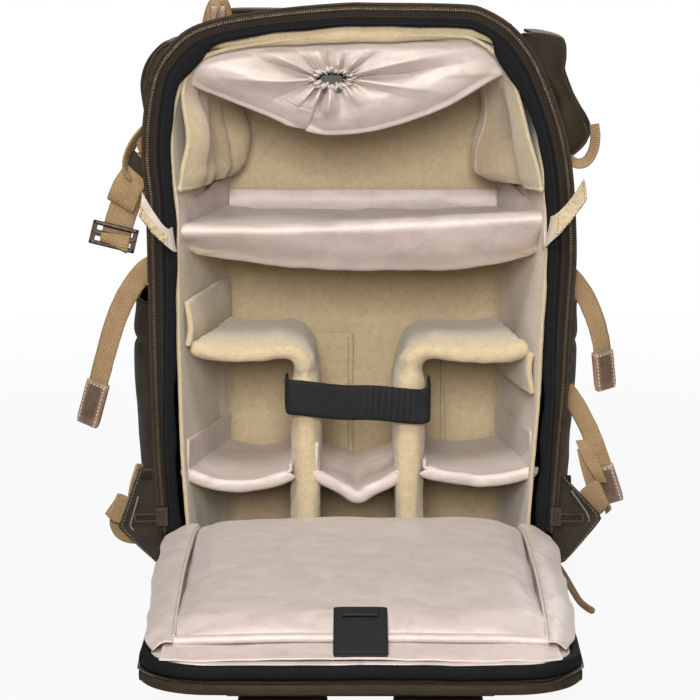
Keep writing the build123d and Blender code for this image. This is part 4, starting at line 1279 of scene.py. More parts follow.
@dataclass
class Shell:
    """The outer canvas: boot, side walls, roof and far panel, sewn with bound seams."""

    boot_height: float = 40.0
    cloth: float = 2.2
    depth_steps: int = 30

    def surface(self) -> Array:
        """The whole outer surface as a grid: outline by depth."""
        depths = np.linspace(FORM.near, FORM.far, self.depth_steps)
        grid = np.stack([FORM.at(d, 0.0) for d in depths], axis=1)
        share = np.linspace(0, 1, self.depth_steps)
        middle = np.sin(math.pi * share)[None, :]
        wall = np.abs(grid[..., 0]) > 100
        slack = wrinkle(grid, 90, 3.1) * FORM.sag + wrinkle(grid, 34, 8.2) * 0.9
        height = grid[..., 2]
        lifted = ease((height - 6) / 40)
        belly = 3.5 * np.sin(math.pi * np.clip(height / 400, 0, 1))
        push = (slack * lifted + np.where(wall, belly, 2.0 * lifted)) * middle
        ring = FORM.ring(FORM.near)
        out = -FORM.inward(ring)
        grid[..., 0] += out[:, None, 0] * push
        grid[..., 2] = np.maximum(grid[..., 2] + out[:, None, 1] * push, 0.4)
        return grid

    def build(self) -> None:
        """Make the canvas pieces."""
        grid = self.surface()
        height = grid[:, 0, 2]
        x = grid[:, 0, 0]
        order = len(x)
        low = [i for i in range(order) if height[i] <= self.boot_height + 2]
        right_foot = max(i for i in low if i < order // 2)
        left_foot = min(i for i in low if i > order // 2)
        boot_rows = list(range(left_foot, order)) + list(range(0, right_foot + 1))
        roof_from = next(i for i in range(order // 2) if height[i] > 372)
        roof_to = max(i for i in range(order // 2, order) if height[i] > 372)
        boot = slab("base_boot_canvas", grid[boot_rows], self.cloth + 0.6, -1)
        settle(boot, BOOT, "base_boot")
        right = slab("side_canvas_right_cloth", grid[right_foot:roof_from + 1], self.cloth, -1)
        settle(right, CANVAS, "side_canvas_right")
        left = slab("side_canvas_left_cloth", grid[roof_to:left_foot + 1], self.cloth, -1)
        settle(left, CANVAS, "side_canvas_left")
        roof = slab("roof_canvas_cloth", grid[roof_from:roof_to + 1], self.cloth, -1)
        settle(roof, CANVAS, "roof_canvas")
        self.near_wall()
        self.far_panel()
        self.seams(grid, right_foot, left_foot, roof_from, roof_to)

    def near_wall(self) -> None:
        """The low canvas wall under the opening, which shows when the panel is shut."""
        wide, tall = 60, 10
        grid = np.zeros((tall, wide, 3))
        for i, z in enumerate(np.linspace(3.0, 38.0, tall)):
            grid[i, :, 0] = np.linspace(-142.0, 142.0, wide)
            grid[i, :, 1] = FORM.near + 1.6
            grid[i, :, 2] = z
        grid[..., 1] += wrinkle(grid, 40, 6.0) * 0.5
        settle(slab("base_near_wall_canvas", grid, self.cloth, 0), BOOT)

    def far_panel(self) -> None:
        """The far face, a little crowned, with its lowest band of heavier canvas."""
        ring = FORM.inset(FORM.far, 1.0)
        centre = np.array([0.0, 200.0])
        shares = np.linspace(0.0, 1.0, 26) ** 0.75
        grid = np.zeros((len(ring), len(shares), 3))
        for j, share in enumerate(shares):
            flat = centre + (ring - centre) * share
            grid[:, j, 0] = flat[:, 0]
            grid[:, j, 2] = flat[:, 1]
            grid[:, j, 1] = FORM.far - 1.2 - 1.6 * share**6
        cloth = slab("front_canvas_cloth", grid[:, ::-1], self.cloth, 0, wrap=True)
        settle(cloth, CANVAS, "front_canvas")

    def seams(self, grid: Array, right_foot: int, left_foot: int, roof_from: int, roof_to: int) -> None:
        """Raised seam ridges and their stitches."""
        ridge = round_section(4.4, 1.6, 10)
        for name, row in (("boot_seam_right", right_foot), ("boot_seam_left", left_foot),
                          ("roof_seam_right", roof_from), ("roof_seam_left", roof_to)):
            line = grid[row, 1:]
            side = 1.0 if line[0, 0] > 0 else -1.0
            away = np.array([side, 0.0, 0.12])
            made = sweep(name, resample(line, 60), ridge, (0, 0, 1), away)
            settle(made, CANVAS)
            for shift in (-3.6, -6.0):
                row_line = resample(line, 60) + np.array([side * 0.4, 0, shift])
                stitch(f"{name}_stitch_{abs(int(shift))}", row_line, away, BROWN_THREAD)
        edge = FORM.at(FORM.far - 0.5, -0.4)
        made = sweep("far_piping", edge[::3], round_section(4.2, 4.2, 10, 2.0), (0, 1, 0),
                     np.column_stack([-FORM.inward(FORM.ring(FORM.far))[::3, 0], np.zeros(len(edge[::3])),
                                      -FORM.inward(FORM.ring(FORM.far))[::3, 1]]), closed=True)
        settle(made, BOOT)


@dataclass
class Rim:
    """The zipped opening: outer lip, zip tape with metal teeth, facing and ribbed binding."""

    hinge_height: float = 44.0
    lip: float = 0.8
    tape: float = 8.6
    teeth_inset: float = 1.5
    binding: float = 10.2
    closing: float = 4.6
    count: int = 420

    def frame_line(self, inset: float, depth: float, closing: float = 0.0) -> tuple[Array, Array]:
        """Line round the opening at an inset, and its inward vectors.

        Args:
            inset: Distance from the outer edge.
            depth: Place along the bag's depth.
            closing: How much of the inset is lost towards the hinge.

        Returns:
            The line's points and unit vectors towards the opening's middle.
        """
        base = FORM.arch(FORM.near, 0.0, self.hinge_height, self.hinge_height, self.count)
        flat = unit(np.gradient(base, axis=0))
        inward = np.column_stack([-flat[:, 2], np.zeros(self.count), flat[:, 0]])
        lost = closing * ease((255 - base[:, 2]) / 170)
        line = base + inward * (inset - lost)[:, None]
        line[:, 1] = depth + wrinkle(base, 60, 1.7) * 0.9
        return line, inward

    def strip(self, name: str, inset: float, width: float, rise: float, depth: float, finish: Finish,
              *nodes: str, power: float = 3.0, closing: float = 0.0) -> bpy.types.Object:
        """One band that runs round the opening."""
        line, inward = self.frame_line(inset + width / 2, depth, closing)
        made = sweep(name, line, round_section(width, rise, 20, power), inward, np.array([0.0, -1.0, 0.0]))
        return settle(made, finish, *nodes)

    def slack(self, made: bpy.types.Object, inset: float, width: float, sides: int) -> None:
        """Let the binding's inner edge wander: narrow over the top, wide in the upper corners."""
        outer, inward = self.frame_line(inset, 0.0, self.closing)
        base, _ = self.frame_line(0.0, 0.0)
        left = np.exp(-(((base[:, 0] + 126) / 26) ** 2 + ((base[:, 2] - 396) / 24) ** 2) ** 1.5)
        right = np.exp(-(((base[:, 0] - 122) / 20) ** 2 + ((base[:, 2] - 398) / 20) ** 2) ** 1.5)
        top = ease((base[:, 2] - 412) / 10)
        factor = 1 + 0.16 * wrinkle(base, 26, 4.0) - 0.42 * top + 0.42 * left + 0.45 * right
        for i, vertex in enumerate(made.data.vertices):
            k = min(i // sides, self.count - 1)
            place = np.array(vertex.co) / MM
            offset = float((place - outer[k])[[0, 2]] @ inward[k][[0, 2]])
            if -1.0 < offset <= width + 2.0:
                place += inward[k] * np.array([1.0, 0.0, 1.0]) * offset * (factor[k] - 1)
            vertex.co = place * MM

    def build(self) -> None:
        """Make the bands, the teeth and their stitches."""
        near = FORM.near
        self.strip("rim_lip", -0.2, 1.4, 1.8, near + 0.8, CANVAS)
        self.strip("rim_tape", self.lip, 3.0, 1.3, near - 0.75, BOOT, "rim_zip_tape", power=6.0)
        self.strip("rim_facing", self.lip + 2.8, 6.0, 2.4, near - 0.6, FACING, power=3.5)
        band_ = self.strip("rim_binding_ribbed", self.tape + 0.3, self.binding, 5.6, near + 0.4, BINDING,
                           "rim_binding", power=2.8, closing=self.closing)
        self.slack(band_, self.tape + 0.3, self.binding, 20)
        line, _ = self.frame_line(self.teeth_inset, near - 2.0)
        teeth = TEETH_ROW.along("rim_teeth", line[::-1], (0, -1, 0), TEETH)
        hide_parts("rim_zip_teeth")
        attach(teeth, BODY)
        for name, inset, finish, rise, closing in (("rim_facing_stitch", 7.6, DARK_THREAD, -1.9, 0.0),
                                                   ("rim_binding_stitch", 12.6, BLACK_CORD, -2.6,
                                                    self.closing)):
            row, _ = self.frame_line(inset, near + rise, closing)
            stitch(name, row, (0, -1, 0), finish, row=FINE_STITCH_ROW)


@dataclass
class Lining:
    """Fleece over the foam: side walls, far wall, floor, and the loose sleeve at the top."""

    floor: float = 12.4
    back: float = 64.0
    back_left: float = -104.0
    back_right: float = 112.0
    corner: float = 16.0
    hem: float = 298.0
    top_inset: float = 21.0

    def plan(self, height: float, count: int) -> Array:
        """Plan of the lining at a height, from the left edge of the opening round to the right."""
        left = -FORM.half_width(height, -1) + 19.0
        right = FORM.half_width(height, 1) - 19.0
        r = self.corner
        slope_l = (self.back_left - left) / (self.back - FORM.near)
        slope_r = (self.back_right - right) / (self.back - FORM.near)
        points = [(left, FORM.near + 4), (left + slope_l * 60, FORM.near + 60),
                  (self.back_left - slope_l * r * 1.6, self.back - r * 1.6)]
        for a in np.linspace(0, 90, 7):
            turn = math.radians(a)
            points.append((self.back_left + r - r * math.cos(turn), self.back - r + r * math.sin(turn)))
        for a in np.linspace(90, 0, 7):
            turn = math.radians(a)
            points.append((self.back_right - r + r * math.cos(turn), self.back - r + r * math.sin(turn)))
        points += [(self.back_right - slope_r * r * 1.6, self.back - r * 1.6),
                   (right + slope_r * 60, FORM.near + 60), (right, FORM.near + 4)]
        return resample(np.array(points), count)

    def walls(self) -> None:
        """The padded walls as one soft U that stands on the floor pad."""
        heights = np.linspace(self.floor - 6, 402.0, 90)
        count = 170
        grid = np.zeros((len(heights), count, 3))
        for i, z in enumerate(heights):
            flat = self.plan(min(max(z, 30.0), 330.0), count)
            shrink = 1.0 - 0.10 * ease((z - 340) / 70)
            grid[i, :, 0] = flat[:, 0] * shrink
            grid[i, :, 1] = flat[:, 1]
            grid[i, :, 2] = z - 0.10 * np.maximum(flat[:, 1], 0) * ease((z - 330) / 70)
        normal = grid_normals(grid)
        puff = wrinkle(grid, 60, 2.3) * 1.5 + wrinkle(grid, 22, 4.4) * 0.5
        grid += normal * (puff * ease((grid[..., 1] - FORM.near) / 18))[..., None]
        cloth = slab("fleece_walls", grid, 2.5, 0)
        settle(cloth, FLEECE, "foam_wall_left", "foam_wall_right", "foam_wall_far", "upper_fleece")

    def floor_pad(self) -> None:
        """The padded floor."""
        count_x, count_y = 60, 34
        plan = self.plan(40.0, 200)
        low_y, high_y = FORM.near + 3, self.back + 2
        grid = np.zeros((count_y, count_x, 3))
        for i, y in enumerate(np.linspace(low_y, high_y, count_y)):
            share = (y - FORM.near) / (self.back - FORM.near)
            left = -FORM.half_width(30, -1) + 19 + share * (self.back_left + FORM.half_width(30, -1) - 19)
            right = FORM.half_width(30, 1) - 19 + share * (self.back_right - FORM.half_width(30, 1) + 19)
            grid[i, :, 0] = np.linspace(left - 2, right + 2, count_x)
            grid[i, :, 1] = y
        grid[..., 2] = self.floor + wrinkle(grid, 50, 6.0) * 1.0
        grid[0, :, 2] -= 3.0
        pad = slab("fleece_floor", grid, 7.0, -1)
        settle(pad, FLEECE, "foam_floor")
        LOG.debug("plan has %d points", len(plan))

    def sleeve(self) -> None:
        """The loose fleece sleeve inside the top of the opening, in heavy hanging folds."""
        arc, deep = 190, 110
        near = FORM.arch(FORM.near, self.top_inset, self.hem, self.hem, arc)
        share = np.linspace(0, 1, deep)
        flat = unit(np.gradient(near, axis=0))
        inward = np.column_stack([-flat[:, 2], np.zeros(arc), flat[:, 0]])
        grid = np.zeros((arc, deep, 3))
        squeeze = np.where(near[:, 0] < 0, (self.back_left + 5) / -132.0, (self.back_right - 5) / 132.0)
        for j, s in enumerate(share):
            grid[:, j, 0] = near[:, 0] * (1 - s + s * np.abs(squeeze))
            grid[:, j, 1] = FORM.near + 3 + s * (self.back - FORM.near - 8)
            grid[:, j, 2] = near[:, 2] - s * 14 * ease((near[:, 2] - 330) / 80)
        low = ease((392 - near[:, 2]) / 70)[:, None]
        hem = 1 - 0.55 * ease((308 - near[:, 2]) / 14)[:, None]
        left = self.drape(share, near[:, 2], ((0.10, 0.13, 20.0, 0.05), (0.38, 0.12, 16.0, -0.04),
                                              (0.63, 0.09, 11.0, 0.05), (0.90, 0.12, 17.0, -0.05)))
        right = self.drape(share, near[:, 2], ((0.10, 0.13, 10.0, 0.08), (0.30, 0.07, 6.0, -0.05),
                                               (0.70, 0.25, 21.0, 0.03), (0.97, 0.10, 8.0, 0.0)))
        right *= ease((1 - share) * 6)[None, :]
        swell = np.where(near[:, 0:1] < 0, left, right) * low * hem
        swell += wrinkle(grid, 30, 9.0) * 1.6 * ease(share * 5)[None, :]
        grid += inward[:, None] * swell[..., None]
        grid[..., 1] += (swell - 6.0) * 0.25 * low * np.cos(math.pi * share)[None, :]
        cloth = slab("fleece_sleeve", grid, 2.6, 0)
        settle(cloth, FLEECE)
        for name, row in (("sleeve_hem_right", grid[0]), ("sleeve_hem_left", grid[-1])):
            line = resample(row, 120) + np.array([0, 0, 1.0])
            made = tube(name, line, 4.2)
            settle(made, FLEECE)
        crest = grid[2:58, int(deep * 0.66)]
        seam = resample(crest, 60) + np.array([-1.7, -0.6, 0.0])
        made = tube("sleeve_seam_right_ridge", seam, 1.5, sides=8)
        settle(made, FLEECE)

    def drape(self, share: Array, height: Array, folds: Sequence[tuple[float, float, float, float]]) -> Array:
        """How far a hanging cloth swells at each height and depth.

        Args:
            share: Depth shares.
            height: Heights of the cloth's rows.
            folds: Each fold's centre, half width, swell and drift down the cloth.

        Returns:
            The swell in millimetres, rows by depths.
        """
        best = np.zeros((len(height), len(share)))
        fall = ((400 - height) / 100)[:, None]
        for k, (centre, wide, swell, drift) in enumerate(folds):
            middle = centre + drift * fall + 0.018 * np.sin(fall * 7 + k * 2.0)
            bulge = 1 + 0.28 * np.sin(fall * 4.4 + k * 1.7)
            here = swell * bulge * np.exp(-np.abs((share[None, :] - middle) / wide) ** 2.4)
            best = np.maximum(best, here)
        return best

    def roll(self) -> None:
        """The padded fleece edge under the top of the rim."""
        line = FORM.arch(FORM.near, self.top_inset - 3.5, 392.0, 396.0, 140)
        line[:, 1] = FORM.near + 7 + wrinkle(line, 40, 2.0) * 1.0
        flat = unit(np.gradient(line, axis=0))
        inward = np.column_stack([-flat[:, 2], np.zeros(len(line)), flat[:, 0]])
        over = ease((line[:, 2] - 340) / 60)[:, None]
        made = sweep("fleece_edge_roll", line + inward * 2.5 * over, round_section(13.5, 9.0, 16, 2.2),
                     inward,
                     np.array([0.0, -1.0, 0.0]))
        self.taper(made, line, inward)
        displace(made, 0.9, 18.0, 3.0)
        settle(made, FLEECE)

    def taper(self, made: bpy.types.Object, line: Array, inward: Array) -> None:
        """Thin the padded edge towards both ends, where it runs in behind the binding."""
        share = np.linspace(0.0, 1.0, len(line))
        full = 0.12 + 0.88 * np.sin(math.pi * share) ** 0.55
        for i, vertex in enumerate(made.data.vertices):
            k = min(i // 16, len(line) - 1)
            place = np.array(vertex.co) / MM
            tucked = line[k] + (place - line[k]) * full[k] - inward[k] * 7.0 * (1 - full[k])
            vertex.co = tucked * MM

    def build(self) -> None:
        """Make the lining."""
        self.walls()
        self.floor_pad()
        self.sleeve()
        self.roll()


@dataclass
class DrawstringCollar:
    """The satin throat of the upper compartment, pulled shut into a pursed ring."""

    ring: tuple[float, float] = (-19.5, 379.0)
    ring_radius: float = 9.5
    pleats: int = 11
    edge: tuple[tuple[float, float, float], ...] = (
        (-20, -77, 409), (35, -77, 410), (92, -77, 406), (108, -76, 397), (107, -75, 384), (99, -73, 379),
        (84, -71, 370), (62, -68, 357), (26, -64, 344), (-12, -62, 337), (-43, -62, 341), (-70, -65, 352),
        (-98, -70, 364), (-119, -75, 373), (-131, -80, 383), (-134.5, -82, 391), (-126, -79, 400),
        (-80, -77, 407))

    def boundary(self, count: int) -> Array:
        """The collar's outer edge, sampled by angle about the ring."""
        line = smooth_line(self.edge, 900, closed=True)
        angle = np.arctan2(line[:, 2] - self.ring[1], line[:, 0] - self.ring[0])
        order = angle.argsort()
        wanted = np.linspace(-math.pi, math.pi, count, endpoint=False)
        return np.stack([np.interp(wanted, angle[order], line[order, k], period=FULL_TURN) for k in range(3)],
                        axis=1)

    def satin(self) -> Array:
        """The gathered surface as a grid: angle by distance from the ring."""
        count = 620
        edge = self.boundary(count)
        angle = np.linspace(-math.pi, math.pi, count, endpoint=False)
        centre = np.array([self.ring[0], -74.0, self.ring[1]])
        out = np.stack([np.cos(angle), np.zeros(count), np.sin(angle)], axis=1)
        throat = centre + out * self.ring_radius * np.array([1.25, 1.0, 0.42]) + np.array([0, 4.0, 0])
        shares = np.linspace(0, 1, 76) ** 1.2
        seed = np.random.default_rng(11)
        knots = np.sort(seed.uniform(-math.pi, math.pi, self.pleats * 2))
        knots = knots * 0.45 + np.linspace(-math.pi, math.pi, self.pleats * 2, endpoint=False) * 0.55
        level = np.where(np.arange(len(knots)) % 2 == 0, 1.0, -1.0) * seed.uniform(0.35, 1.25, len(knots))
        reach_of = seed.uniform(0.45, 1.0, len(knots))
        drift = seed.uniform(-0.16, 0.16, len(knots))
        rows = []
        for s in shares:
            base = throat * (1 - s) + edge * s
            dome = -7.5 * math.sin(math.pi * min(s * 1.1, 1.0)) ** 0.8 + 3.0 * s
            places = knots + drift * s
            order = np.argsort(places)
            fade = np.clip((reach_of - s * 0.9) / 0.25, 0.12, 1.0)
            facet = np.interp(angle, places[order], (level * fade)[order], period=FULL_TURN)
            fine = np.sin(angle * 34 + 3 * np.sin(angle * 3)) * math.exp(-7.5 * s)
            swell = (2.2 + 6.0 * math.sin(math.pi * min(1.0, s * 1.25 + 0.12)) ** 1.2) * facet
            shape = swell * (1 - 0.6 * ease((s - 0.86) / 0.14)) * ease(s * 9 + 0.2)
            shape = shape + 2.3 * fine * ease(s * 16)
            row = base.copy()
            row[:, 1] += dome - shape
            flare = facet * 3.6 * s**3
            row[:, 0] += out[:, 0] * flare
            row[:, 2] += out[:, 2] * flare * np.where(out[:, 2] < 0, 1.0, 0.2)
            rows.append(row)
        rim = rows[-1]
        under = []
        for k, (back, shrink) in enumerate(((5.0, 0.975), (22.0, 0.95), (60.0, 0.92), (100.0, 0.89))):
            row = rim.copy()
            row[:, 0] = centre[0] + (rim[:, 0] - centre[0]) * shrink
            row[:, 2] = centre[2] + (rim[:, 2] - centre[2]) * shrink + 0.05 * back
            row[:, 1] = rim[:, 1] + 3 + back + 2.0 * np.sin(angle * (9 + k))
            under.append(row)
        grid = np.stack(rows + under, axis=1)
        grid += (wrinkle(grid, 16, 4.0) * 0.5)[..., None] * np.array([0.0, 1.0, 0.3])
        return grid

    def lips(self) -> None:
        """The folded channel round the ring, puckered into small knuckles."""
        count = 240
        angle = np.linspace(0, FULL_TURN, count, endpoint=False)
        pucker = 1 + 0.13 * np.sin(angle * 21) + 0.10 * np.sin(angle * 8 + 1)
        line = np.stack([self.ring[0] + np.cos(angle) * 13.5 * pucker, -76.0 + 1.6 * np.sin(angle * 13),
                         self.ring[1] + np.sin(angle) * 6.2 * pucker], axis=1)
        out = np.stack([np.cos(angle), np.zeros(count), np.sin(angle)], axis=1)
        made = sweep("collar_channel", line, round_section(4.0, 6.5, 14, 2.2), out,
                     np.array([0.0, -1.0, 0.0]), True)
        displace(made, 1.2, 3.6, 1.0)
        settle(made, SATIN)
        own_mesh(made)

    def build(self) -> None:
        """Make the satin, its channel and the cord with its lock."""
        cloth = slab("drawstring_satin", self.satin(), 1.2, 0, wrap=True)
        settle(cloth, SATIN, "drawstring_collar")
        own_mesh(cloth)
        self.lips()
        redress("cord_lock_body", BLACK_PLASTIC)
        redress("cord_lock_button", BLACK_PLASTIC)
        redress("cord_lock_spring", SPRING)
        angle = np.linspace(0, FULL_TURN, 90, endpoint=False)
        radius = 9.0
        line = np.stack([self.ring[0] + np.cos(angle) * radius, -70.0 + 1.5 * np.sin(angle * 3),
                         self.ring[1] + np.sin(angle) * radius * 0.6], axis=1)
        cord = tube("drawstring_black_cord", line, 3.0, closed=True)
        settle(cord, BLACK_CORD, "drawstring_cord")


# ------------------------------------------------------------------ dividers
@dataclass
class TopShelf:
    """The satin divider under the upper compartment: puffy top, drooping front and four flaps."""

    height: float = 272.0
    front: float = -78.0
    back: float = 58.0
    left_front: float = -133.0
    right_front: float = 137.0
    left_back: float = -103.0
    right_back: float = 110.0

    def sides(self, depth: float) -> tuple[float, float]:
        """Left and right end of the shelf at a depth."""
        share = (depth - self.front) / (self.back - self.front)
        return (self.left_front + share * (self.left_back - self.left_front),
                self.right_front + share * (self.right_back - self.right_front))

    def section(self, across: float) -> Array:
        """Closed front-to-back section at a place across, -1 at the left end and 1 at the right."""
        middle = 1 - across**2
        skew = 0.18 * across
        top = self.height - 3.0 * middle
        droop = 253.5 - 15.5 * middle**0.45 - 4.0 * max(across, 0) * middle - (1 - abs(across)) * 2 - skew * 8
        points = [(self.back, top - 10), (self.back, top - 2), (self.back - 8, top + 1),
                  (20, top + 0.5 + middle),
                  (-25, top - 0.5), (-58, top + 0.5), (self.front + 5, top + 0.5),
                  (self.front - 1.0, top - 2.0),
                  (self.front - 2.4, top - 4.8), (self.front + 0.5, top - 8.5),
                  (self.front + 9.5, (top + droop) / 2 - 2),
                  (self.front + 17.0, droop + 6), (self.front + 20.5, droop + 1.0),
                  (self.front + 23.5, droop),
                  (self.front + 26, droop + 3), (self.front + 27, droop + 10), (-38, top - 13.5),
                  (10, top - 12)]
        return smooth_line(points, 120, closed=True)

    def body(self) -> bpy.types.Object:
        """The padded slab with its drooping front."""
        rows = []
        places = np.linspace(-1, 1, 96)
        for place in places:
            section = self.section(float(place))
            row = np.zeros((len(section), 3))
            row[:, 1] = section[:, 0]
            row[:, 2] = section[:, 1]
            lift = (5.0 + 5.0 * place) * ease((-20 - section[:, 0]) / 45) * ease((section[:, 1] - 251) / 16)
            row[:, 2] += lift
            for k, (y, _) in enumerate(section):
                left, right = self.sides(float(y))
                row[k, 0] = (left + right) / 2 + place * (right - left) / 2
            rows.append(row)
        grid = np.array(rows)
        sections = len(grid[0])
        faces = []
        uvs = []
        for i in range(len(rows) - 1):
            for j in range(sections):
                n = (j + 1) % sections
                faces.append((i * sections + j, (i + 1) * sections + j, (i + 1) * sections + n,
                              i * sections + n))
                uvs.extend([(0.0, 0.0)] * 4)
        faces.append(tuple(range(sections)))
        faces.append(tuple(reversed(range((len(rows) - 1) * sections, len(rows) * sections))))
        made = make_object("top_shelf_satin", grid, faces)
        displace(made, 1.6, 46.0, 1.0)
        displace(made, 0.9, 17.0, 6.0)
        return made

    def upstand(self) -> bpy.types.Object:
        """The satin strip that stands up along the far wall."""
        width, rise = 80, 16
        grid = np.zeros((rise, width, 3))
        for i, s in enumerate(np.linspace(0, 1, rise)):
            y = self.back + 1.0 + 1.0 * s
            left, right = self.sides(self.back)
            grid[i, :, 0] = np.linspace(left + 1, right - 1, width)
            grid[i, :, 1] = y - 2.0 * math.sin(math.pi * s)
            grid[i, :, 2] = self.height - 6 + s * 19
        grid[..., 1] -= 1.2 + wrinkle(grid, 24, 2.0) * 1.3
        return slab("top_shelf_upstand", grid, 2.0, 0)

    def side_wall(self, side: int) -> bpy.types.Object:
        """The satin flap that stands up along one side wall, inside the opening."""
        deep, rise = 50, 16
        grid = np.zeros((rise, deep, 3))
        for i, s in enumerate(np.linspace(0, 1, rise)):
            for j, y in enumerate(np.linspace(-86.0, self.back - 4, deep)):
                left, right = self.sides(y)
                wall = left if side < 0 else right
                top = self.height + (20 if side < 0 else 19) + 3 * math.sin(y / 21.0)
                foot = self.height - 6 - 12 * ease((-66 - y) / 18)
                grid[i, j] = (wall - side * (0.4 + 1.6 * math.sin(math.pi * s)), y, foot + s * (top - foot))
        grid[..., 0] -= side * (0.8 + wrinkle(grid, 22, 3.0) * 1.2)
        name = side_name(side)
        return slab(f"top_shelf_side_{name}", grid, 2.2, 0)

    def ear(self, side: int) -> None:
        """The flap's free end, turned outwards over the rim: hook cloth with a satin edge."""
        name = side_name(side)
        inner_x = self.sides(self.front)[0 if side < 0 else 1]
        if side < 0:
            corners = {"low": (-134.5, 255.0), "high": (-138.0, 271.5), "tip_low": (-159.0, 283.0),
                       "tip_high": (-156.0, 299.5)}
        else:
            corners = {"low": (137.0, 260.0), "high": (142.0, 282.0), "tip_low": (164.0, 294.0),
                       "tip_high": (161.5, 309.0)}
        rise, deep = 34, 44
        grid = np.zeros((rise, deep, 3))
        for i, s in enumerate(np.linspace(0, 1, rise)):
            start = np.array((inner_x - side * 1.5, -79.0, 255.0 + 24.0 * s))
            knee = np.array((corners["low"][0] * (1 - s) + corners["high"][0] * s, -95.0 - 2.0 * s,
                             corners["low"][1] * (1 - s) + corners["high"][1] * s))
            tip = np.array((corners["tip_low"][0] * (1 - s) + corners["tip_high"][0] * s, -104.0 - 3.0 * s,
                            corners["tip_low"][1] * (1 - s) + corners["tip_high"][1] * s))
            tip[2] -= 4.0 * math.sin(math.pi * s) * (1 if side < 0 else -0.6)
            line = smooth_line([start, knee, (knee + tip) / 2 + np.array([side * 0.5, -1.5, -1.5]), tip],
                               deep)
            grid[i] = line
        grid[..., 1] -= wrinkle(grid, 11, 7.0) * 0.9
        grid[..., 1] = np.maximum(grid[..., 1], -109.0)
        inner = slab(f"shelf_ear_{name}_satin", grid, 1.2, 0)
        self.fold_in(settle(inner, SATIN, f"divider_flap_{name}"))
        part = grid[: int(rise * (0.70 if side < 0 else 1.0)), int(deep * (0.42 if side < 0 else 0.36)):]
        hook = slab(f"shelf_ear_{name}_hook", part + np.array([0.0, -1.5, 0.0]), 2.4, 0)
        subdivide(hook)
        displace(hook, 0.5, 3.0, 5.0)
        self.fold_in(settle(hook, FLEECE))
        rows = part.shape[0]
        border = np.concatenate([part[2:rows - 3, 3][::-1], part[2, 3:-3], part[2:rows - 3, -3]])
        line = resample(border, 60) + np.array([0.0, -2.9, 0.0])
        row = FINE_STITCH_ROW.along(f"shelf_ear_{name}_stitch", line, (0.0, -1.0, 0.0), BROWN_THREAD)
        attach(row, BODY)
        self.fold_in(row)

    def fold_in(self, thing: bpy.types.Object) -> None:
        """Give an ear its own copy of its mesh."""
        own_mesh(thing)

    def build(self) -> None:
        """Make the shelf and its flaps."""
        slab_ = self.body()
        settle(slab_, SATIN, "top_divider")
        settle(self.upstand(), SATIN)
        for side in (-1, 1):
            settle(self.side_wall(side), SATIN)
            self.ear(side)
        left, right = self.sides(self.front + 16)
        strip = soft_box("shelf_fleece_underside", (left + 6, self.front + 17, 247.5),
                         (right - 3, self.back - 6, 259), 6,
                         (0, 0, 1))
        settle(strip, FLEECE)


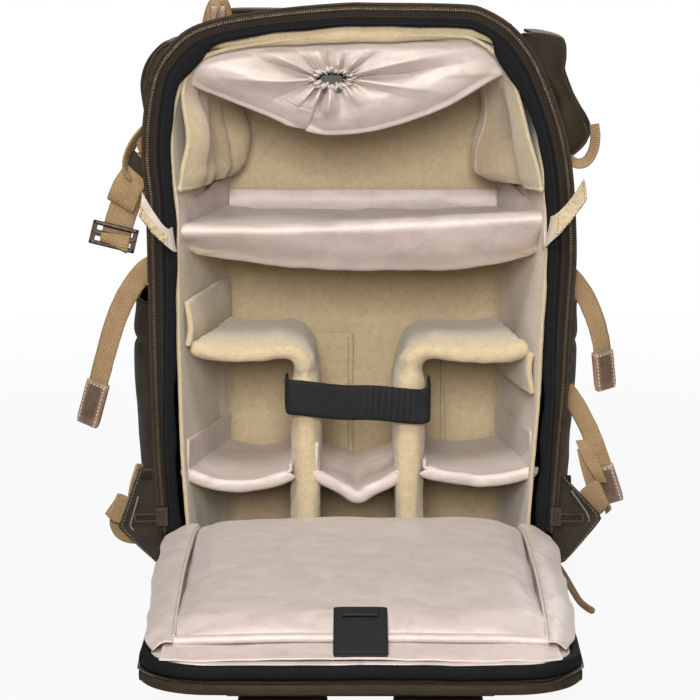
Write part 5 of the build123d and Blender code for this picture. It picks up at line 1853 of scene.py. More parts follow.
@dataclass
class FleeceDivider:
    """One L-shaped padded divider: a shelf, an upright post and the flaps that grip the walls."""

    side: int = -1
    post: float = -41.0
    top: float = 186.0
    thick: float = 12.5
    post_thick: float = 18.0
    front: float = -75.0
    back: float = 58.0
    foot: float = 13.0
    wall_front: float = -128.0
    wall_back: float = -103.0

    @property
    def name(self) -> str:
        """Left or right."""
        return "left" if self.side < 0 else "right"

    def wall(self, depth: float) -> float:
        """The side wall at a depth."""
        share = (depth - self.front) / (self.back - self.front)
        return self.wall_front + share * (self.wall_back - self.wall_front)

    def bent(self) -> bpy.types.Object:
        """The whole L as one padded board with a soft bend."""
        z = self.top - self.thick / 2 - 0.6
        x = self.post
        start = self.wall_front - self.side * 1.0
        reach = x - start
        line = [(start, 0, z), (start + reach * 0.3, 0, z - 2.2), (start + reach * 0.62, 0, z - 2.0),
                (x + self.side * 17, 0, z + 0.2), (x + self.side * 6.5, 0, z - 0.6),
                (x + self.side * 0.8, 0, z - 6.0),
                (x - self.side * 0.4, 0, z - 17), (x - self.side * 1.4, 0, z - 60),
                (x - self.side * 1.2, 0, z - 110),
                (x, 0, self.foot)]
        route = smooth_line(line, 120)
        middle = (self.front + self.back) / 2
        deep = self.back - self.front
        along = tangents(route)
        across = np.array([0.0, 1.0, 0.0])
        outward = unit(np.cross(along, across))
        profile = self.board(deep)
        route[:, 1] = middle
        made = sweep(f"fleece_divider_{self.name}", route, profile, across, outward)
        share = np.linspace(0, 1, 120)
        thin = self.thick / self.post_thick
        scale = thin + (1 - thin) * ease((share - 0.36) / 0.12)
        pinch = np.exp(-((share - 0.405) / 0.010) ** 2)
        count = len(profile)
        for i, vertex in enumerate(made.data.vertices):
            k = min(i // count, 119)
            place = np.array(vertex.co) / MM
            offset = float((place - route[k]) @ outward[k])
            place -= outward[k] * offset * (1 - scale[k] * (1 - 0.22 * pinch[k]))
            if place[1] < middle - deep * 0.4:
                place[1] += 4.0 * pinch[k]
            depth = np.clip((place[1] - self.front) / deep, 0, 1)
            out = np.clip((place[0] - x) / (self.wall_front - x), 0, 1)
            place[0] += out * depth * (self.wall_back - self.wall_front)
            vertex.co = place * MM
        return made

    def board(self, deep: float) -> Array:
        """The padded board's section: long in depth, with full round edges."""
        half, high, corner = deep / 2, self.post_thick / 2, self.post_thick / 2 - 1.5
        points = []
        for centre, start in (((half - corner, high - corner), 0), ((-half + corner, high - corner), 90),
                              ((-half + corner, -high + corner), 180),
                              ((half - corner, -high + corner), 270)):
            for a in np.linspace(start, start + 90, 7):
                turn = math.radians(a)
                points.append((centre[0] + corner * math.cos(turn), centre[1] + corner * math.sin(turn)))
        return resample(np.array(points), 90, closed=True)

    def wall_flap(self) -> None:
        """The hook-backed flap along the side wall: up on the left, down on the right."""
        deep, rise = 40, 14
        upward = self.side < 0
        grid = np.zeros((rise, deep, 3))
        for i, s in enumerate(np.linspace(0, 1, rise)):
            for j, y in enumerate(np.linspace(self.front - 1, self.back - 2, deep)):
                share = (y - self.front) / (self.back - self.front)
                span = (34.0 + 2 * share) if upward else -(31.0 + 2 * math.sin(3 * share))
                start = self.top - 4.0 if upward else self.top - self.thick + 4
                x = self.wall(y) - self.side * (1.6 + 2.4 * math.sin(math.pi * min(1.0, s * 1.1))
                                                * (1 - 0.5 * s))
                grid[i, j] = (x, y, start + s * span)
        grid[..., 0] += wrinkle(grid, 26, 3.0 + self.side) * 1.0
        made = slab(f"fleece_wall_flap_{self.name}", grid, 4.6, 0)
        subdivide(made)
        settle(made, FLEECE)
        inset = grid[2:-2, 3:-3]
        border = np.concatenate([inset[0], inset[:, -1], inset[-1, ::-1], inset[::-1, 0]])
        line = resample(border, 110, True)
        line[:, 0] -= self.side * 1.9
        stitch(f"fleece_wall_flap_{self.name}_stitch", line, (-self.side, 0, 0), PALE_THREAD,
               row=FINE_STITCH_ROW,
               closed=True)

    def back_flap(self) -> None:
        """The flap stuck to the far wall beside the post."""
        low = self.post + (5.0 if self.side < 0 else 7.0)
        high = self.post + (37.0 if self.side < 0 else 29.0)
        made = soft_box(f"fleece_back_flap_{self.name}", (low, self.back + 0.6, 50),
                        (high, self.back + 4.2, 173), 1.8,
                        (0, 0.5, 0), 5.0)
        displace(made, 0.6, 20.0, 4.0)
        settle(made, FLEECE)
        x = high - 4.0
        line = np.array([(x, self.back - 0.1, 54), (x, self.back - 0.1, 110), (x, self.back - 0.1, 168)],
                        float)
        stitch(f"fleece_back_flap_{self.name}_stitch", resample(line, 30), (0, -1, 0), BROWN_THREAD,
               row=FINE_STITCH_ROW)

    def build(self) -> None:
        """Make the divider."""
        whole = self.bent()
        inflate(whole, 3.0, 4.0, 2.0)
        displace(whole, 1.3, 42.0, 2.0)
        displace(whole, 0.5, 9.0, 1.0)
        settle(whole, FLEECE, f"divider_{self.name}")
        self.wall_flap()
        self.back_flap()


@dataclass
class Sling:
    """One thin satin shelf that hangs between two walls, with gripping flaps turned up."""

    name: str
    left_front: float
    right_front: float
    left_back: float
    right_back: float
    height: float
    sag: float
    front: float = -70.0
    back: float = 57.0
    flap_left: float = 24.0
    flap_right: float = 24.0
    crease: float = 0.0

    def build(self) -> None:
        """Make the sling and its flaps."""
        deep = 44
        across = np.concatenate([np.full(10, 0.0), np.linspace(0, 1, 56), np.full(10, 1.0)])
        grid = np.zeros((len(across), deep, 3))
        for i, u in enumerate(across):
            rise = 0.0
            if i < 10:
                rise = self.flap_left * (1 - i / 9)
            elif i >= 66:
                rise = self.flap_right * ((i - 66) / 9)
            for j, s in enumerate(np.linspace(0, 1, deep)):
                y = self.front + s * (self.back - self.front)
                left = self.left_front + s * (self.left_back - self.left_front)
                right = self.right_front + s * (self.right_back - self.right_front)
                curve = 1 - (2 * u - 1) ** 2
                z = self.height - self.sag * curve * (1.1 - 0.35 * s)
                z -= self.crease * math.exp(-((u - 0.5) * 9) ** 2)
                lean = -1.0 * rise / 24.0
                x = left + u * (right - left) + (lean if i >= 66 else -lean if i < 10 else 0.0)
                grid[i, j] = (x, y, z + rise * (1 - 0.12 * s))
        grid[..., 2] += wrinkle(grid, 30, 2.0) * 1.3 + wrinkle(grid, 12, 5.0) * 0.5
        grid[..., 1] += wrinkle(grid, 18, 7.0) * 1.0
        for _ in range(2):
            grid[1:-1] = grid[1:-1] * 0.5 + (grid[2:] + grid[:-2]) * 0.25
        made = slab(f"sling_{self.name}_satin", grid, 3.2, 0)
        subdivide(made)
        settle(made, SATIN, f"sling_{self.name}")
        edge = grid[8:-8, 0].copy() + np.array([0.0, 1.0, -2.6])
        line = resample(edge, 90)
        lip = sweep(f"sling_{self.name}_edge", line, round_section(5.5, 9.5, 18, 2.2), (0, 1, 0),
                    unit(np.cross(tangents(line), np.array([0.0, 1.0, 0.0]))))
        displace(lip, 0.7, 14.0, 3.0)
        settle(lip, SATIN)


@dataclass
class LensStrap:
    """Black webbing with hook backing that bridges the two uprights and grips their sides."""

    left: float = -52.5
    right: float = 50.5
    left_height: float = 145.0
    right_height: float = 138.0
    width: float = 26.0
    front: float = -77.2

    def build(self) -> None:
        """Make the strap and its edge stitching."""
        low, high = self.left_height, self.right_height
        points = [(self.left - 0.8, -52, low + 1), (self.left - 1.2, -66, low + 1),
                  (self.left + 1.0, self.front + 1, low),
                  (self.left + 10, self.front - 0.4, low - 0.6),
                  (-14, self.front + 0.6, (low + high) / 2 - 0.5),
                  (12, self.front + 0.6, (low + high) / 2 - 1.0), (self.right - 10, self.front - 0.6, high),
                  (self.right - 1.0, self.front + 1, high + 1), (self.right + 1.6, -66, high + 4),
                  (self.right + 1.2, -50, high + 6)]
        line = smooth_line(points, 220)
        along = tangents(line)
        facing = unit(np.cross(np.array([0.0, 0.0, 1.0]), along))
        ribs = np.sin(line[:, 0] * (FULL_TURN / 4.6)) * ease((line[:, 0] + 18) / 40)
        ribs = ribs * ease((44 - line[:, 0]) / 6)
        line[:, 1] += 0.38 * ribs
        made = band("lens_strap_webbing", line, self.width, 2.2, -facing)
        settle(made, BLACK_WEB, "lens_strap")
        for shift in (-self.width / 2 + 2.4, self.width / 2 - 2.4):
            row = line[8:-8] + np.array([0, 0, shift]) - facing[8:-8] * -1.2
            stitch(f"lens_strap_stitch_{'low' if shift < 0 else 'high'}", row, (0, -1, 0), BLACK_CORD,
                   row=FINE_STITCH_ROW)


@dataclass
class Interior:
    """Everything that divides the camera compartment."""

    shelf: TopShelf = field(default_factory=TopShelf)
    left: FleeceDivider = field(default_factory=FleeceDivider)
    right: FleeceDivider = field(default_factory=lambda: FleeceDivider(
        side=1, post=39.0, wall_front=129.0, wall_back=110.0))
    slings: tuple[Sling, ...] = (
        Sling("left", -127.6, -50.5, -101.5, -50.5, 89.0, 8.0, front=-74, flap_left=24, flap_right=5),
        Sling("centre", -32.0, 30.0, -32.0, 30.0, 88.0, 11.0, flap_left=22, flap_right=24, crease=5.0),
        Sling("right", 48.5, 128.6, 48.5, 108.5, 91.0, 6.0, front=-73, flap_left=6, flap_right=28))
    strap: LensStrap = field(default_factory=LensStrap)

    def build(self) -> None:
        """Make the dividers, slings and strap."""
        self.shelf.build()
        self.left.build()
        self.right.build()
        for sling in self.slings:
            sling.build()
        self.strap.build()


# ------------------------------------------------------------------ rear panel
@dataclass
class RearPanel:
    """The opened harness panel on the floor: padded computer sleeve, piping, zip and canvas edge."""

    half: float = 139.0
    hinge_y: float = -91.5
    near_y: float = -470.5
    corner: float = 46.0
    top: float = 44.0
    under: float = 26.0
    wave: float = 2.2

    def outline(self, inset: float, count: int, foot: float = 0.0) -> Array:
        """The panel's edge from the left of the hinge round the near side to the right, as (x, y, 0)."""
        half, near = self.half - inset, self.near_y + inset
        radius = max(self.corner - inset, 6.0)
        bow = 3.0
        points = [(-half + 5, self.hinge_y - foot), (-half + 2, -130.0), (-half - 0.5, -220.0),
                  (-half, -330.0),
                  (-half, near + radius)]
        for a in np.linspace(0, 90, 8)[1:]:
            turn = math.radians(a)
            points.append((-half + radius - radius * math.cos(turn), near + radius - radius * math.sin(turn)))
        points += [(-half * 0.4, near - bow * 0.2), (half * 0.1, near + bow * 0.3),
                   (half * 0.45, near - bow * 0.3)]
        for a in np.linspace(90, 0, 8):
            turn = math.radians(a)
            points.append((half - radius + radius * math.cos(turn), near + radius - radius * math.sin(turn)))
        points += [(half, -330.0), (half + 0.5, -220.0), (half - 2, -130.0), (half - 5, self.hinge_y - foot)]
        flat = smooth_line(points, count)
        return np.column_stack([flat, np.zeros(count)])

    def strip(self, name: str, inset: float, height: float, width: float, rise: float, finish: Finish,
              *nodes: str, ripple: float = 0.0, power: float = 2.4) -> bpy.types.Object:
        """A band that runs round the panel's edge."""
        line = self.outline(inset, 360, 2.0)
        flat = unit(np.gradient(line, axis=0))
        outward = np.column_stack([flat[:, 1], -flat[:, 0], np.zeros(len(line))])
        line[:, 2] = height + ripple * wrinkle(line, 26, 4.0)
        line += outward * (ripple * 0.6 * wrinkle(line, 30, 8.0))[:, None]
        made = sweep(name, line, round_section(width, rise, 18, power), outward, np.array([0.0, 0.0, 1.0]))
        return settle(made, finish, *nodes, body=PANEL)

    def edge(self) -> None:
        """Piping, zip tape with its wavy row of teeth, and the canvas edge below."""
        self.strip("panel_piping", 4.6, 39.6, 8.6, 9.2, BINDING, "panel_binding", ripple=0.8)
        self.strip("panel_zip_tape", 4.2, 34.4, 7.0, 2.0, FACING, ripple=0.6, power=5.0)
        self.strip("panel_canvas_edge", 3.6, 29.8, 7.2, 7.2, CANVAS, "panel_edge_canvas", "panel_core",
                   power=4.0)
        line = self.outline(0.6, 420, 2.0)
        line[:, 2] = 34.6 + self.wave * wrinkle(line, 24, 4.0)
        teeth = TEETH_ROW.along("panel_teeth", line, (0.0, -0.25, 1.0), TEETH)
        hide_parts("panel_zip_teeth")
        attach(teeth, PANEL)
        row = self.outline(2.0, 360, 2.0)
        row[:, 2] = 43.2
        stitch("panel_piping_stitch", row, (0, 0, 1), BLACK_CORD, PANEL, FINE_STITCH_ROW)

    def base(self) -> None:
        """The lined board under the sleeve, and the canvas face that lies towards the floor."""
        rim = self.outline(8.0, 200, 1.0)
        rows = []
        for s in np.linspace(0, 1, 16):
            ring = rim.copy()
            ring[:, 0] *= 1 - s
            ring[:, 2] = 42.0 + 1.0 * s
            rows.append(ring)
        grid = np.array(rows)
        grid[..., 2] += wrinkle(grid, 40, 2.0) * 0.6
        board = slab("panel_lining_satin", grid, 2.0, -1)
        settle(board, SATIN, body=PANEL)
        low = grid.copy()
        low[..., 2] = 28.5 + 0.8 * wrinkle(grid, 60, 6.0)
        skin = slab("panel_outer_canvas", low, 2.4, -1)
        settle(skin, CANVAS, body=PANEL)

    def sleeve(self) -> None:
        """The puffy computer sleeve with its gusseted sides."""
        low_y, high_y = -429.0, -101.0

        def crown(points: Array) -> Array:
            """Swell the middle, round the far corners and pull the sides in."""
            across = points[:, 0] / 124.0
            along = (points[:, 1] - low_y) / (high_y - low_y)
            upper = ease((points[:, 2] - 45.5) / 9.0)
            dome = (1 - np.clip(np.abs(across), 0,
                                1) ** 3.2) * (0.55 + 0.45 * np.sin(math.pi * np.clip(along, 0, 1)))
            points[:, 2] += upper * 6.5 * dome
            points[:, 2] -= upper * 5.5 * ease((0.10 - along) / 0.10)
            waist = 0.02 * np.sin(math.pi * np.clip(along, 0, 1))
            points[:, 0] *= 1 - waist - 0.05 * ease((along - 0.9) / 0.1) * upper
            points[:, 2] -= upper * 3.5 * np.exp(-((np.abs(across) - 0.93) / 0.035) ** 2)
            return points

        pad = soft_box("computer_sleeve_satin", (-123, low_y, 44.2), (123, high_y, 56.0), 5.0, (0, 1.0, 0.5),
                       4.5, crown)
        inflate(pad, 3.0, 5.0, 2.5)
        displace(pad, 1.5, 52.0, 3.0)
        displace(pad, 0.6, 19.0, 5.0)
        settle(pad, SATIN, "computer_sleeve", body=PANEL)
        for side in (-1, 1):
            name = side_name(side)
            points = [(side * 116.5, high_y - 4, 53.0), (side * 118.5, -150, 57.2),
                      (side * 119.0, -260, 58.4),
                      (side * 118.0, -360, 57.2), (side * 117.0, low_y + 3, 52.5)]
            line = smooth_line(points, 160)
            seam = tube(f"sleeve_seam_{name}", line, 1.8, sides=8)
            settle(seam, SATIN, body=PANEL)
            row = line.copy()
            row[:, 0] += side * 1.2
            row[:, 2] += 1.1
            stitch(f"sleeve_seam_{name}_stitch", row, (0, 0, 1), PALE_THREAD, PANEL, FINE_STITCH_ROW)
            self.gusset(side, name)

    def gusset(self, side: int, name: str) -> None:
        """The slack side of the sleeve, which lies over the panel's bound edge."""
        along, wide = 120, 16
        grid = np.zeros((wide, along, 3))
        y = np.linspace(-98.0, -436.0, along)
        outer = np.interp(-y, (98, 112, 150, 250, 360, 410, 436),
                          (136.0, 140.5, 142.5, 141.5, 138.5, 135.5, 129.0))
        for i, s in enumerate(np.linspace(0, 1, wide)):
            start = 117.0 + 1.5 * np.sin(math.pi * (-y - 98) / 340)
            grid[i, :, 0] = side * (start + (outer - start) * s)
            grid[i, :, 1] = y
            near = ease((-y - 380) / 60)
            crown = 53.5 + 2.5 * np.sin(math.pi * (-y - 98) / 340) - 2.5 * near
            fall = 47.2 - 1.4 * near
            grid[i, :, 2] = crown + (fall - crown) * s**1.6 + 1.4 * math.sin(math.pi * s)
        free = ease(np.abs(grid[..., 0]) / 12 - 9.6)
        grid[..., 2] += wrinkle(grid, 19, 3.0) * 1.3 * free
        grid[..., 0] += side * wrinkle(grid * np.array([0.2, 1.0, 0.2]), 42, 5.0) * 2.2 * free
        made = slab(f"sleeve_gusset_{name}", grid, 1.4, 0)
        subdivide(made)
        settle(made, SATIN, body=PANEL)
        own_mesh(made)

    def mouth(self) -> None:
        """The sleeve's open end: a rolled hem above, a second layer of lining inside."""
        points = [(-118, -427, 50.0), (-80, -428, 51.6), (-30, -429, 52.4), (30, -429, 52.4),
                  (80, -428, 51.6),
                  (118, -427, 50.0)]
        line = smooth_line(points, 140)
        line[:, 1] += wrinkle(line, 30, 1.0) * 1.6
        hem = sweep("sleeve_mouth_hem", line, round_section(9.0, 5.6, 16, 2.3), (0, 1, 0), (0, 0, 1))
        settle(hem, SATIN, body=PANEL)
        wide, deep = 110, 26
        grid = np.zeros((deep, wide, 3))
        for i, s in enumerate(np.linspace(0, 1, deep)):
            x = np.linspace(-122 - 3 * s, 122 + 3 * s, wide)
            grid[i, :, 0] = x
            grid[i, :, 1] = -396.0 - 61.0 * s - 3.0 * np.cos(x / 118 * math.pi / 2) * s
            grid[i, :, 2] = 48.0 - 2.2 * s + 1.6 * math.sin(math.pi * s) + 1.2 * np.sin(x / 31.0 + 2 * s) * s
        grid[..., 2] += wrinkle(grid, 20, 8.0) * 0.9
        lining = slab("sleeve_inner_lining", grid, 1.4, 0)
        subdivide(lining)
        settle(lining, SATIN, body=PANEL)

    def tab(self) -> None:
        """The black closing tab with its bare label place and ribbed end."""
        low, high = box_mm("sleeve_tab")
        middle = (low[0] + high[0]) / 2
        points = [(middle, high[1] + 0.0, low[2] + 5.6), (middle, high[1] - 14, low[2] + 5.0),
                  (middle, high[1] - 26, low[2] + 2.6), (middle, (low[1] + high[1]) / 2 - 4, low[2] + 0.4),
                  (middle, low[1] + 14, low[2] - 3.6), (middle, low[1] + 1, low[2] - 8.0)]
        line = smooth_line(points, 60)
        tab = band("sleeve_tab_webbing", line, high[0] - low[0], 2.6, (0, 0, 1), columns=15)
        settle(tab, BLACK_WEB, "sleeve_tab", body="sleeve_tab")
        label = soft_box("sleeve_tab_label", (middle - 11.5, high[1] - 22, high[2] + 3.4),
                         (middle + 11.5, high[1] - 5, high[2] + 5.2), 0.6, (0, 0, 0.2), 2.0)
        settle(label, BLACK_WEB, body="sleeve_tab")
        root = band("sleeve_tab_root",
                    smooth_line([(middle, low[1] + 2.5, 43.5), (middle, low[1] + 0.5, 46.0),
                                                    (middle, low[1] + 1.0, 49.0)], 20),
                    high[0] - low[0] - 1, 2.2, (0, -1, 0))
        settle(root, BLACK_WEB, body=PANEL)

    def gusset_hinge(self) -> None:
        """Canvas that runs in a curve between the body and the panel, attached to neither."""
        wide, tall = 90, 16
        grid = np.zeros((tall, wide, 3))
        for i, s in enumerate(np.linspace(0, 1, tall)):
            grid[i, :, 0] = np.linspace(-134, 134, wide)
            turn = s * math.pi / 2
            grid[i, :, 1] = -87.5 - 14.0 * math.sin(turn) * 0.8 - 1.0
            grid[i, :, 2] = 30.0 + 12.5 * s
        grid[..., 2] += wrinkle(grid, 30, 2.0) * 0.8
        made = slab("panel_hinge_canvas", grid, 1.8, 0)
        settle(made, CANVAS, "hinge_gusset", body=None)
        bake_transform(made)

    def build(self) -> None:
        """Make the panel."""
        self.base()
        self.edge()
        self.sleeve()
        self.mouth()
        self.tab()
        self.gusset_hinge()


# ------------------------------------------------------------------ outside
def place_local(points: Array, origin: Sequence[float], along: Sequence[float],
                face: Sequence[float]) -> Array:
    """Move points from a strap's own frame to the bag.

    Args:
        points: Rows of (across, along, out) in millimetres.
        origin: Where the strap's frame starts.
        along: Direction of the second axis.
        face: Rough direction of the third axis.

    Returns:
        The points in the bag's frame.
    """
    y_axis = unit(np.asarray(along, float))
    x_axis = unit(np.cross(y_axis, np.asarray(face, float)))
    z_axis = np.cross(x_axis, y_axis)
    return np.asarray(origin, float) + points @ np.stack([x_axis, y_axis, z_axis])



@dataclass
class StrapTail:
    """A webbing end with a folded leather tip, arching out of a side seam."""

    name: str
    route: tuple[Point, ...]
    width: float
    tip_length: float
    turn: float
    lean: Point = (0.0, -1.0, 0.0)

    def build(self) -> tuple[bpy.types.Object, bpy.types.Object]:
        """Make the webbing and the tip; return both."""
        line = smooth_line(self.route, 90)
        share = np.linspace(0, 1, 90)[:, None]
        along = tangents(line)
        start = np.array(self.lean, float)
        angle = math.radians(self.turn) * ease(share)
        side = unit(np.cross(along, start))
        facing = start * np.cos(angle) + side * np.sin(angle)
        strap = band(f"strap_tail_{self.name}", line, self.width, 1.8, facing)
        displace(strap, 0.25, 6.0, 3.0)
        settle(strap, TAN_WEB)
        return strap, self.tip(line[-1], along[-1], facing[-1])

    def tip(self, origin: Array, along: Array, face: Array) -> bpy.types.Object:
        """The folded leather end: two skins over a pale cut core, sewn round with cream thread."""
        half = self.width / 2 + 1.2
        length = self.tip_length
        start = origin - along * 3.0

        def local(points: Array) -> Array:
            """Soften the square end and lay it on the strap."""
            end = ease((points[:, 1] - length + 5) / 5)
            points[:, 0] *= 1 - 0.05 * end
            points[:, 2] *= 1 - 0.25 * end
            return place_local(points, start, along, face)

        core = soft_box(f"leather_tip_{self.name}_core", (-half, 0, -2.3), (half, length - 0.4, 2.3), 0.7,
                        step=3.0,
                        shape=local)
        settle(core, CUT_LEATHER)
        parts = []
        for sign in (-1, 1):
            low, high = sorted((sign * 0.9, sign * 2.9))
            parts.append(soft_box(f"leather_tip_{self.name}_{sign}", (-half + 0.2, -0.4, low),
                                  (half - 0.2, length, high), 0.9, (0, 0, 0.25), 2.5, local))
        skins = join(f"leather_tip_{self.name}", parts)
        settle(skins, LEATHER)
        inset = 2.0
        corners = [(-half + inset, length - inset, 3.0), (-half + inset, inset, 3.0),
                   (half - inset, inset, 3.0),
                   (half - inset, length - inset, 3.0)]
        line = resample(place_local(np.array(corners, float), start, along, face), 60)
        stitch(f"leather_tip_{self.name}_stitch", line, tuple(face), CREAM_THREAD,
               row=Repeat(pitch=2.9, length=1.9, width=0.75, height=0.6, jitter=0.15))
        return skins


@dataclass
class SideHardware:
    """Everything that hangs from the side seams: tails, compression strap, slide, keeper and loops."""

    plane: float = -75.0

    def tails(self) -> None:
        """The three webbing tails."""
        y = self.plane
        left = StrapTail("left_mid", ((-147, y + 5, 243), (-156, y, 239), (-166, y - 1, 227),
                                      (-176, y - 2, 208),
                                      (-184, y - 2, 184), (-190, y - 1, 162), (-192.5, y, 153)), 15.5, 34.0,
                                      24.0)
        right = StrapTail("right_mid", ((150, y + 5, 237), (157, y, 232), (166, y - 1, 219),
                                        (173, y - 2, 203),
                                        (177.5, y - 2, 187), (179, y, 176)), 14.0, 30.0, -24.0)
        low = StrapTail("right_low", ((152, y + 6, 150), (160, y + 2, 139), (169, y, 122), (176, y - 1, 105),
                                      (181, y, 90)), 13.5, 29.0, 8.0)
        made = [tail.build() for tail in (left, right, low)]
        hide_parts("strap_tails")
        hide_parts("leather_tips")

    def compression(self) -> None:
        """The doubled webbing at the upper left with its slide."""
        y = self.plane
        outer = [(-146, y + 4, 322), (-155, y - 1, 316), (-163, y - 4, 308), (-169, y - 5.5, 299),
                 (-172.5, y - 4.5, 290),
                 (-173.5, y - 1.5, 286.5), (-171.5, y + 0.8, 290)]
        roll = band("compression_webbing_roll", smooth_line(outer, 80), 22.0, 1.8, self.turned(outer, 80),
                    columns=11)
        displace(roll, 0.3, 9.0, 1.0)
        settle(roll, TAN_WEB, "compression_webbing")
        inner = [(-150, y + 3.6, 312), (-160, y + 1.5, 303), (-168, y + 0.5, 292), (-173, y - 0.5, 280),
                 (-176.5, y - 1.0, 268), (-178.2, y - 2.6, 260.5), (-178.6, y - 5.2, 257.5),
                 (-178.0, y - 6.6, 261.0),
                 (-177.3, y - 6.0, 266)]
        under = band("compression_webbing_lower", smooth_line(inner, 90), 21.5, 1.8, self.turned(inner, 90),
                     columns=11)
        settle(under, TAN_WEB)
        redress("tri_glide", DARK_METAL)
        low, high = box_mm("tri_glide")
        centre = (low + high) / 2
        tilt = math.radians(14)
        across = np.array([math.cos(tilt), 0, -math.sin(tilt)])
        for shift in (-7.0, 0.0, 7.0):
            middle = centre + np.array([0.26 * shift, -0.4, shift])
            line = np.array([middle - across * 16.5, middle, middle + across * 16.5])
            bar = tube(f"tri_glide_bar_{int(shift) + 7}", resample(line, 16), 3.4 if shift else 2.6)
            settle(bar, DARK_METAL)

    def turned(self, points: list[Point], count: int) -> Array:
        """Facing of a strap that starts towards the viewer and rolls over its own end."""
        along = tangents(smooth_line(points, count))
        across = unit(np.cross(np.array([0.0, -1.0, 0.0]), unit(np.array([-0.5, 0.0, -0.86]))))
        facing = unit(np.cross(across, along))
        return facing * -1.0 if np.cross(across, along[0])[1] > 0 else facing

    def keeper(self) -> None:
        """The dark elastic keeper over the doubled webbing."""
        y = self.plane
        centre = np.array([-157.5, y - 1.0, 314.0])
        along = unit(np.array([-0.68, 0.0, -0.73]))
        corners = []
        for turn in np.linspace(0, FULL_TURN, 48, endpoint=False):
            a = np.sign(math.cos(turn)) * abs(math.cos(turn)) ** 0.35 * 13.0
            b = np.sign(math.sin(turn)) * abs(math.sin(turn)) ** 0.6 * 4.2
            corners.append((a, 0.0, b))
        line = place_local(np.array(corners), centre, along, (0, -1, 0))
        made = sweep("webbing_keeper_elastic", line, round_section(10.0, 1.6, 12, 3.0), along,
                     unit(line - centre - ((line - centre) @ along)[:, None] * along), closed=True)
        settle(made, CANVAS, "webbing_keeper")

    def loops(self) -> None:
        """The small loops: beside the keeper, on the top seam and at the foot of the right roll end."""
        y = self.plane
        loop = [(-147, y + 1, 348), (-154, y - 3, 344), (-162, y - 5, 335), (-167.5, y - 5, 324),
                (-168.5, y - 4, 314),
                (-165, y - 2, 308)]
        line = smooth_line(loop, 70)
        along = tangents(line)
        facing = unit(np.cross(along, np.array([0.0, 1.0, 0.0])) + np.array([0.0, -0.42, 0.0]))
        made = band("side_loop_webbing", line, 14.0, 1.6, facing)
        settle(made, TAN_WEB, "webbing_loops")
        pull = [(-148, y + 1, 341), (-152, y - 1, 339), (-156, y - 1, 333), (-154, y + 1, 327)]
        made = band("side_loop_tongue", smooth_line(pull, 30), 12.0, 1.6, (0.3, -1, 0.1))
        settle(made, TAN_WEB)
        tab = [(-110, y + 2, 408), (-108.5, y - 1, 420), (-106, y - 1.5, 429), (-103, y - 1, 433.5),
               (-99, y + 1, 432.5),
               (-96.5, y + 3, 424), (-96, y + 4, 412)]
        line = smooth_line(tab, 60)
        along = tangents(line)
        facing = unit(np.cross(along, np.array([0.0, 1.0, 0.0])) + np.array([0.0, -1.1, 0.0]))
        made = band("top_tab_webbing", line, 12.0, 1.7, facing)
        settle(made, TAN_WEB)
        front = soft_box("top_tab_leather", (-107, y - 4.6, 416), (-96.5, y - 2.4, 431.5), 1.0, (0, 0.3, 0),
                         2.5)
        settle(front, LEATHER)
        hook = [(151, y - 2, 322), (158, y - 3.5, 317.5), (165, y - 4, 319), (170, y - 4, 327),
                (171.5, y - 3, 337),
                (170.5, y - 2, 346)]
        line = smooth_line(hook, 60)
        along = tangents(line)
        facing = unit(np.cross(along, np.array([0.0, 1.0, 0.0])) + np.array([0.0, -1.0, 0.0]))
        made = band("right_end_loop_webbing", line, 9.0, 1.6, facing)
        settle(made, TAN_WEB)

    def build(self) -> None:
        """Make all the side hardware."""
        self.tails()
        self.compression()
        self.keeper()
        self.loops()


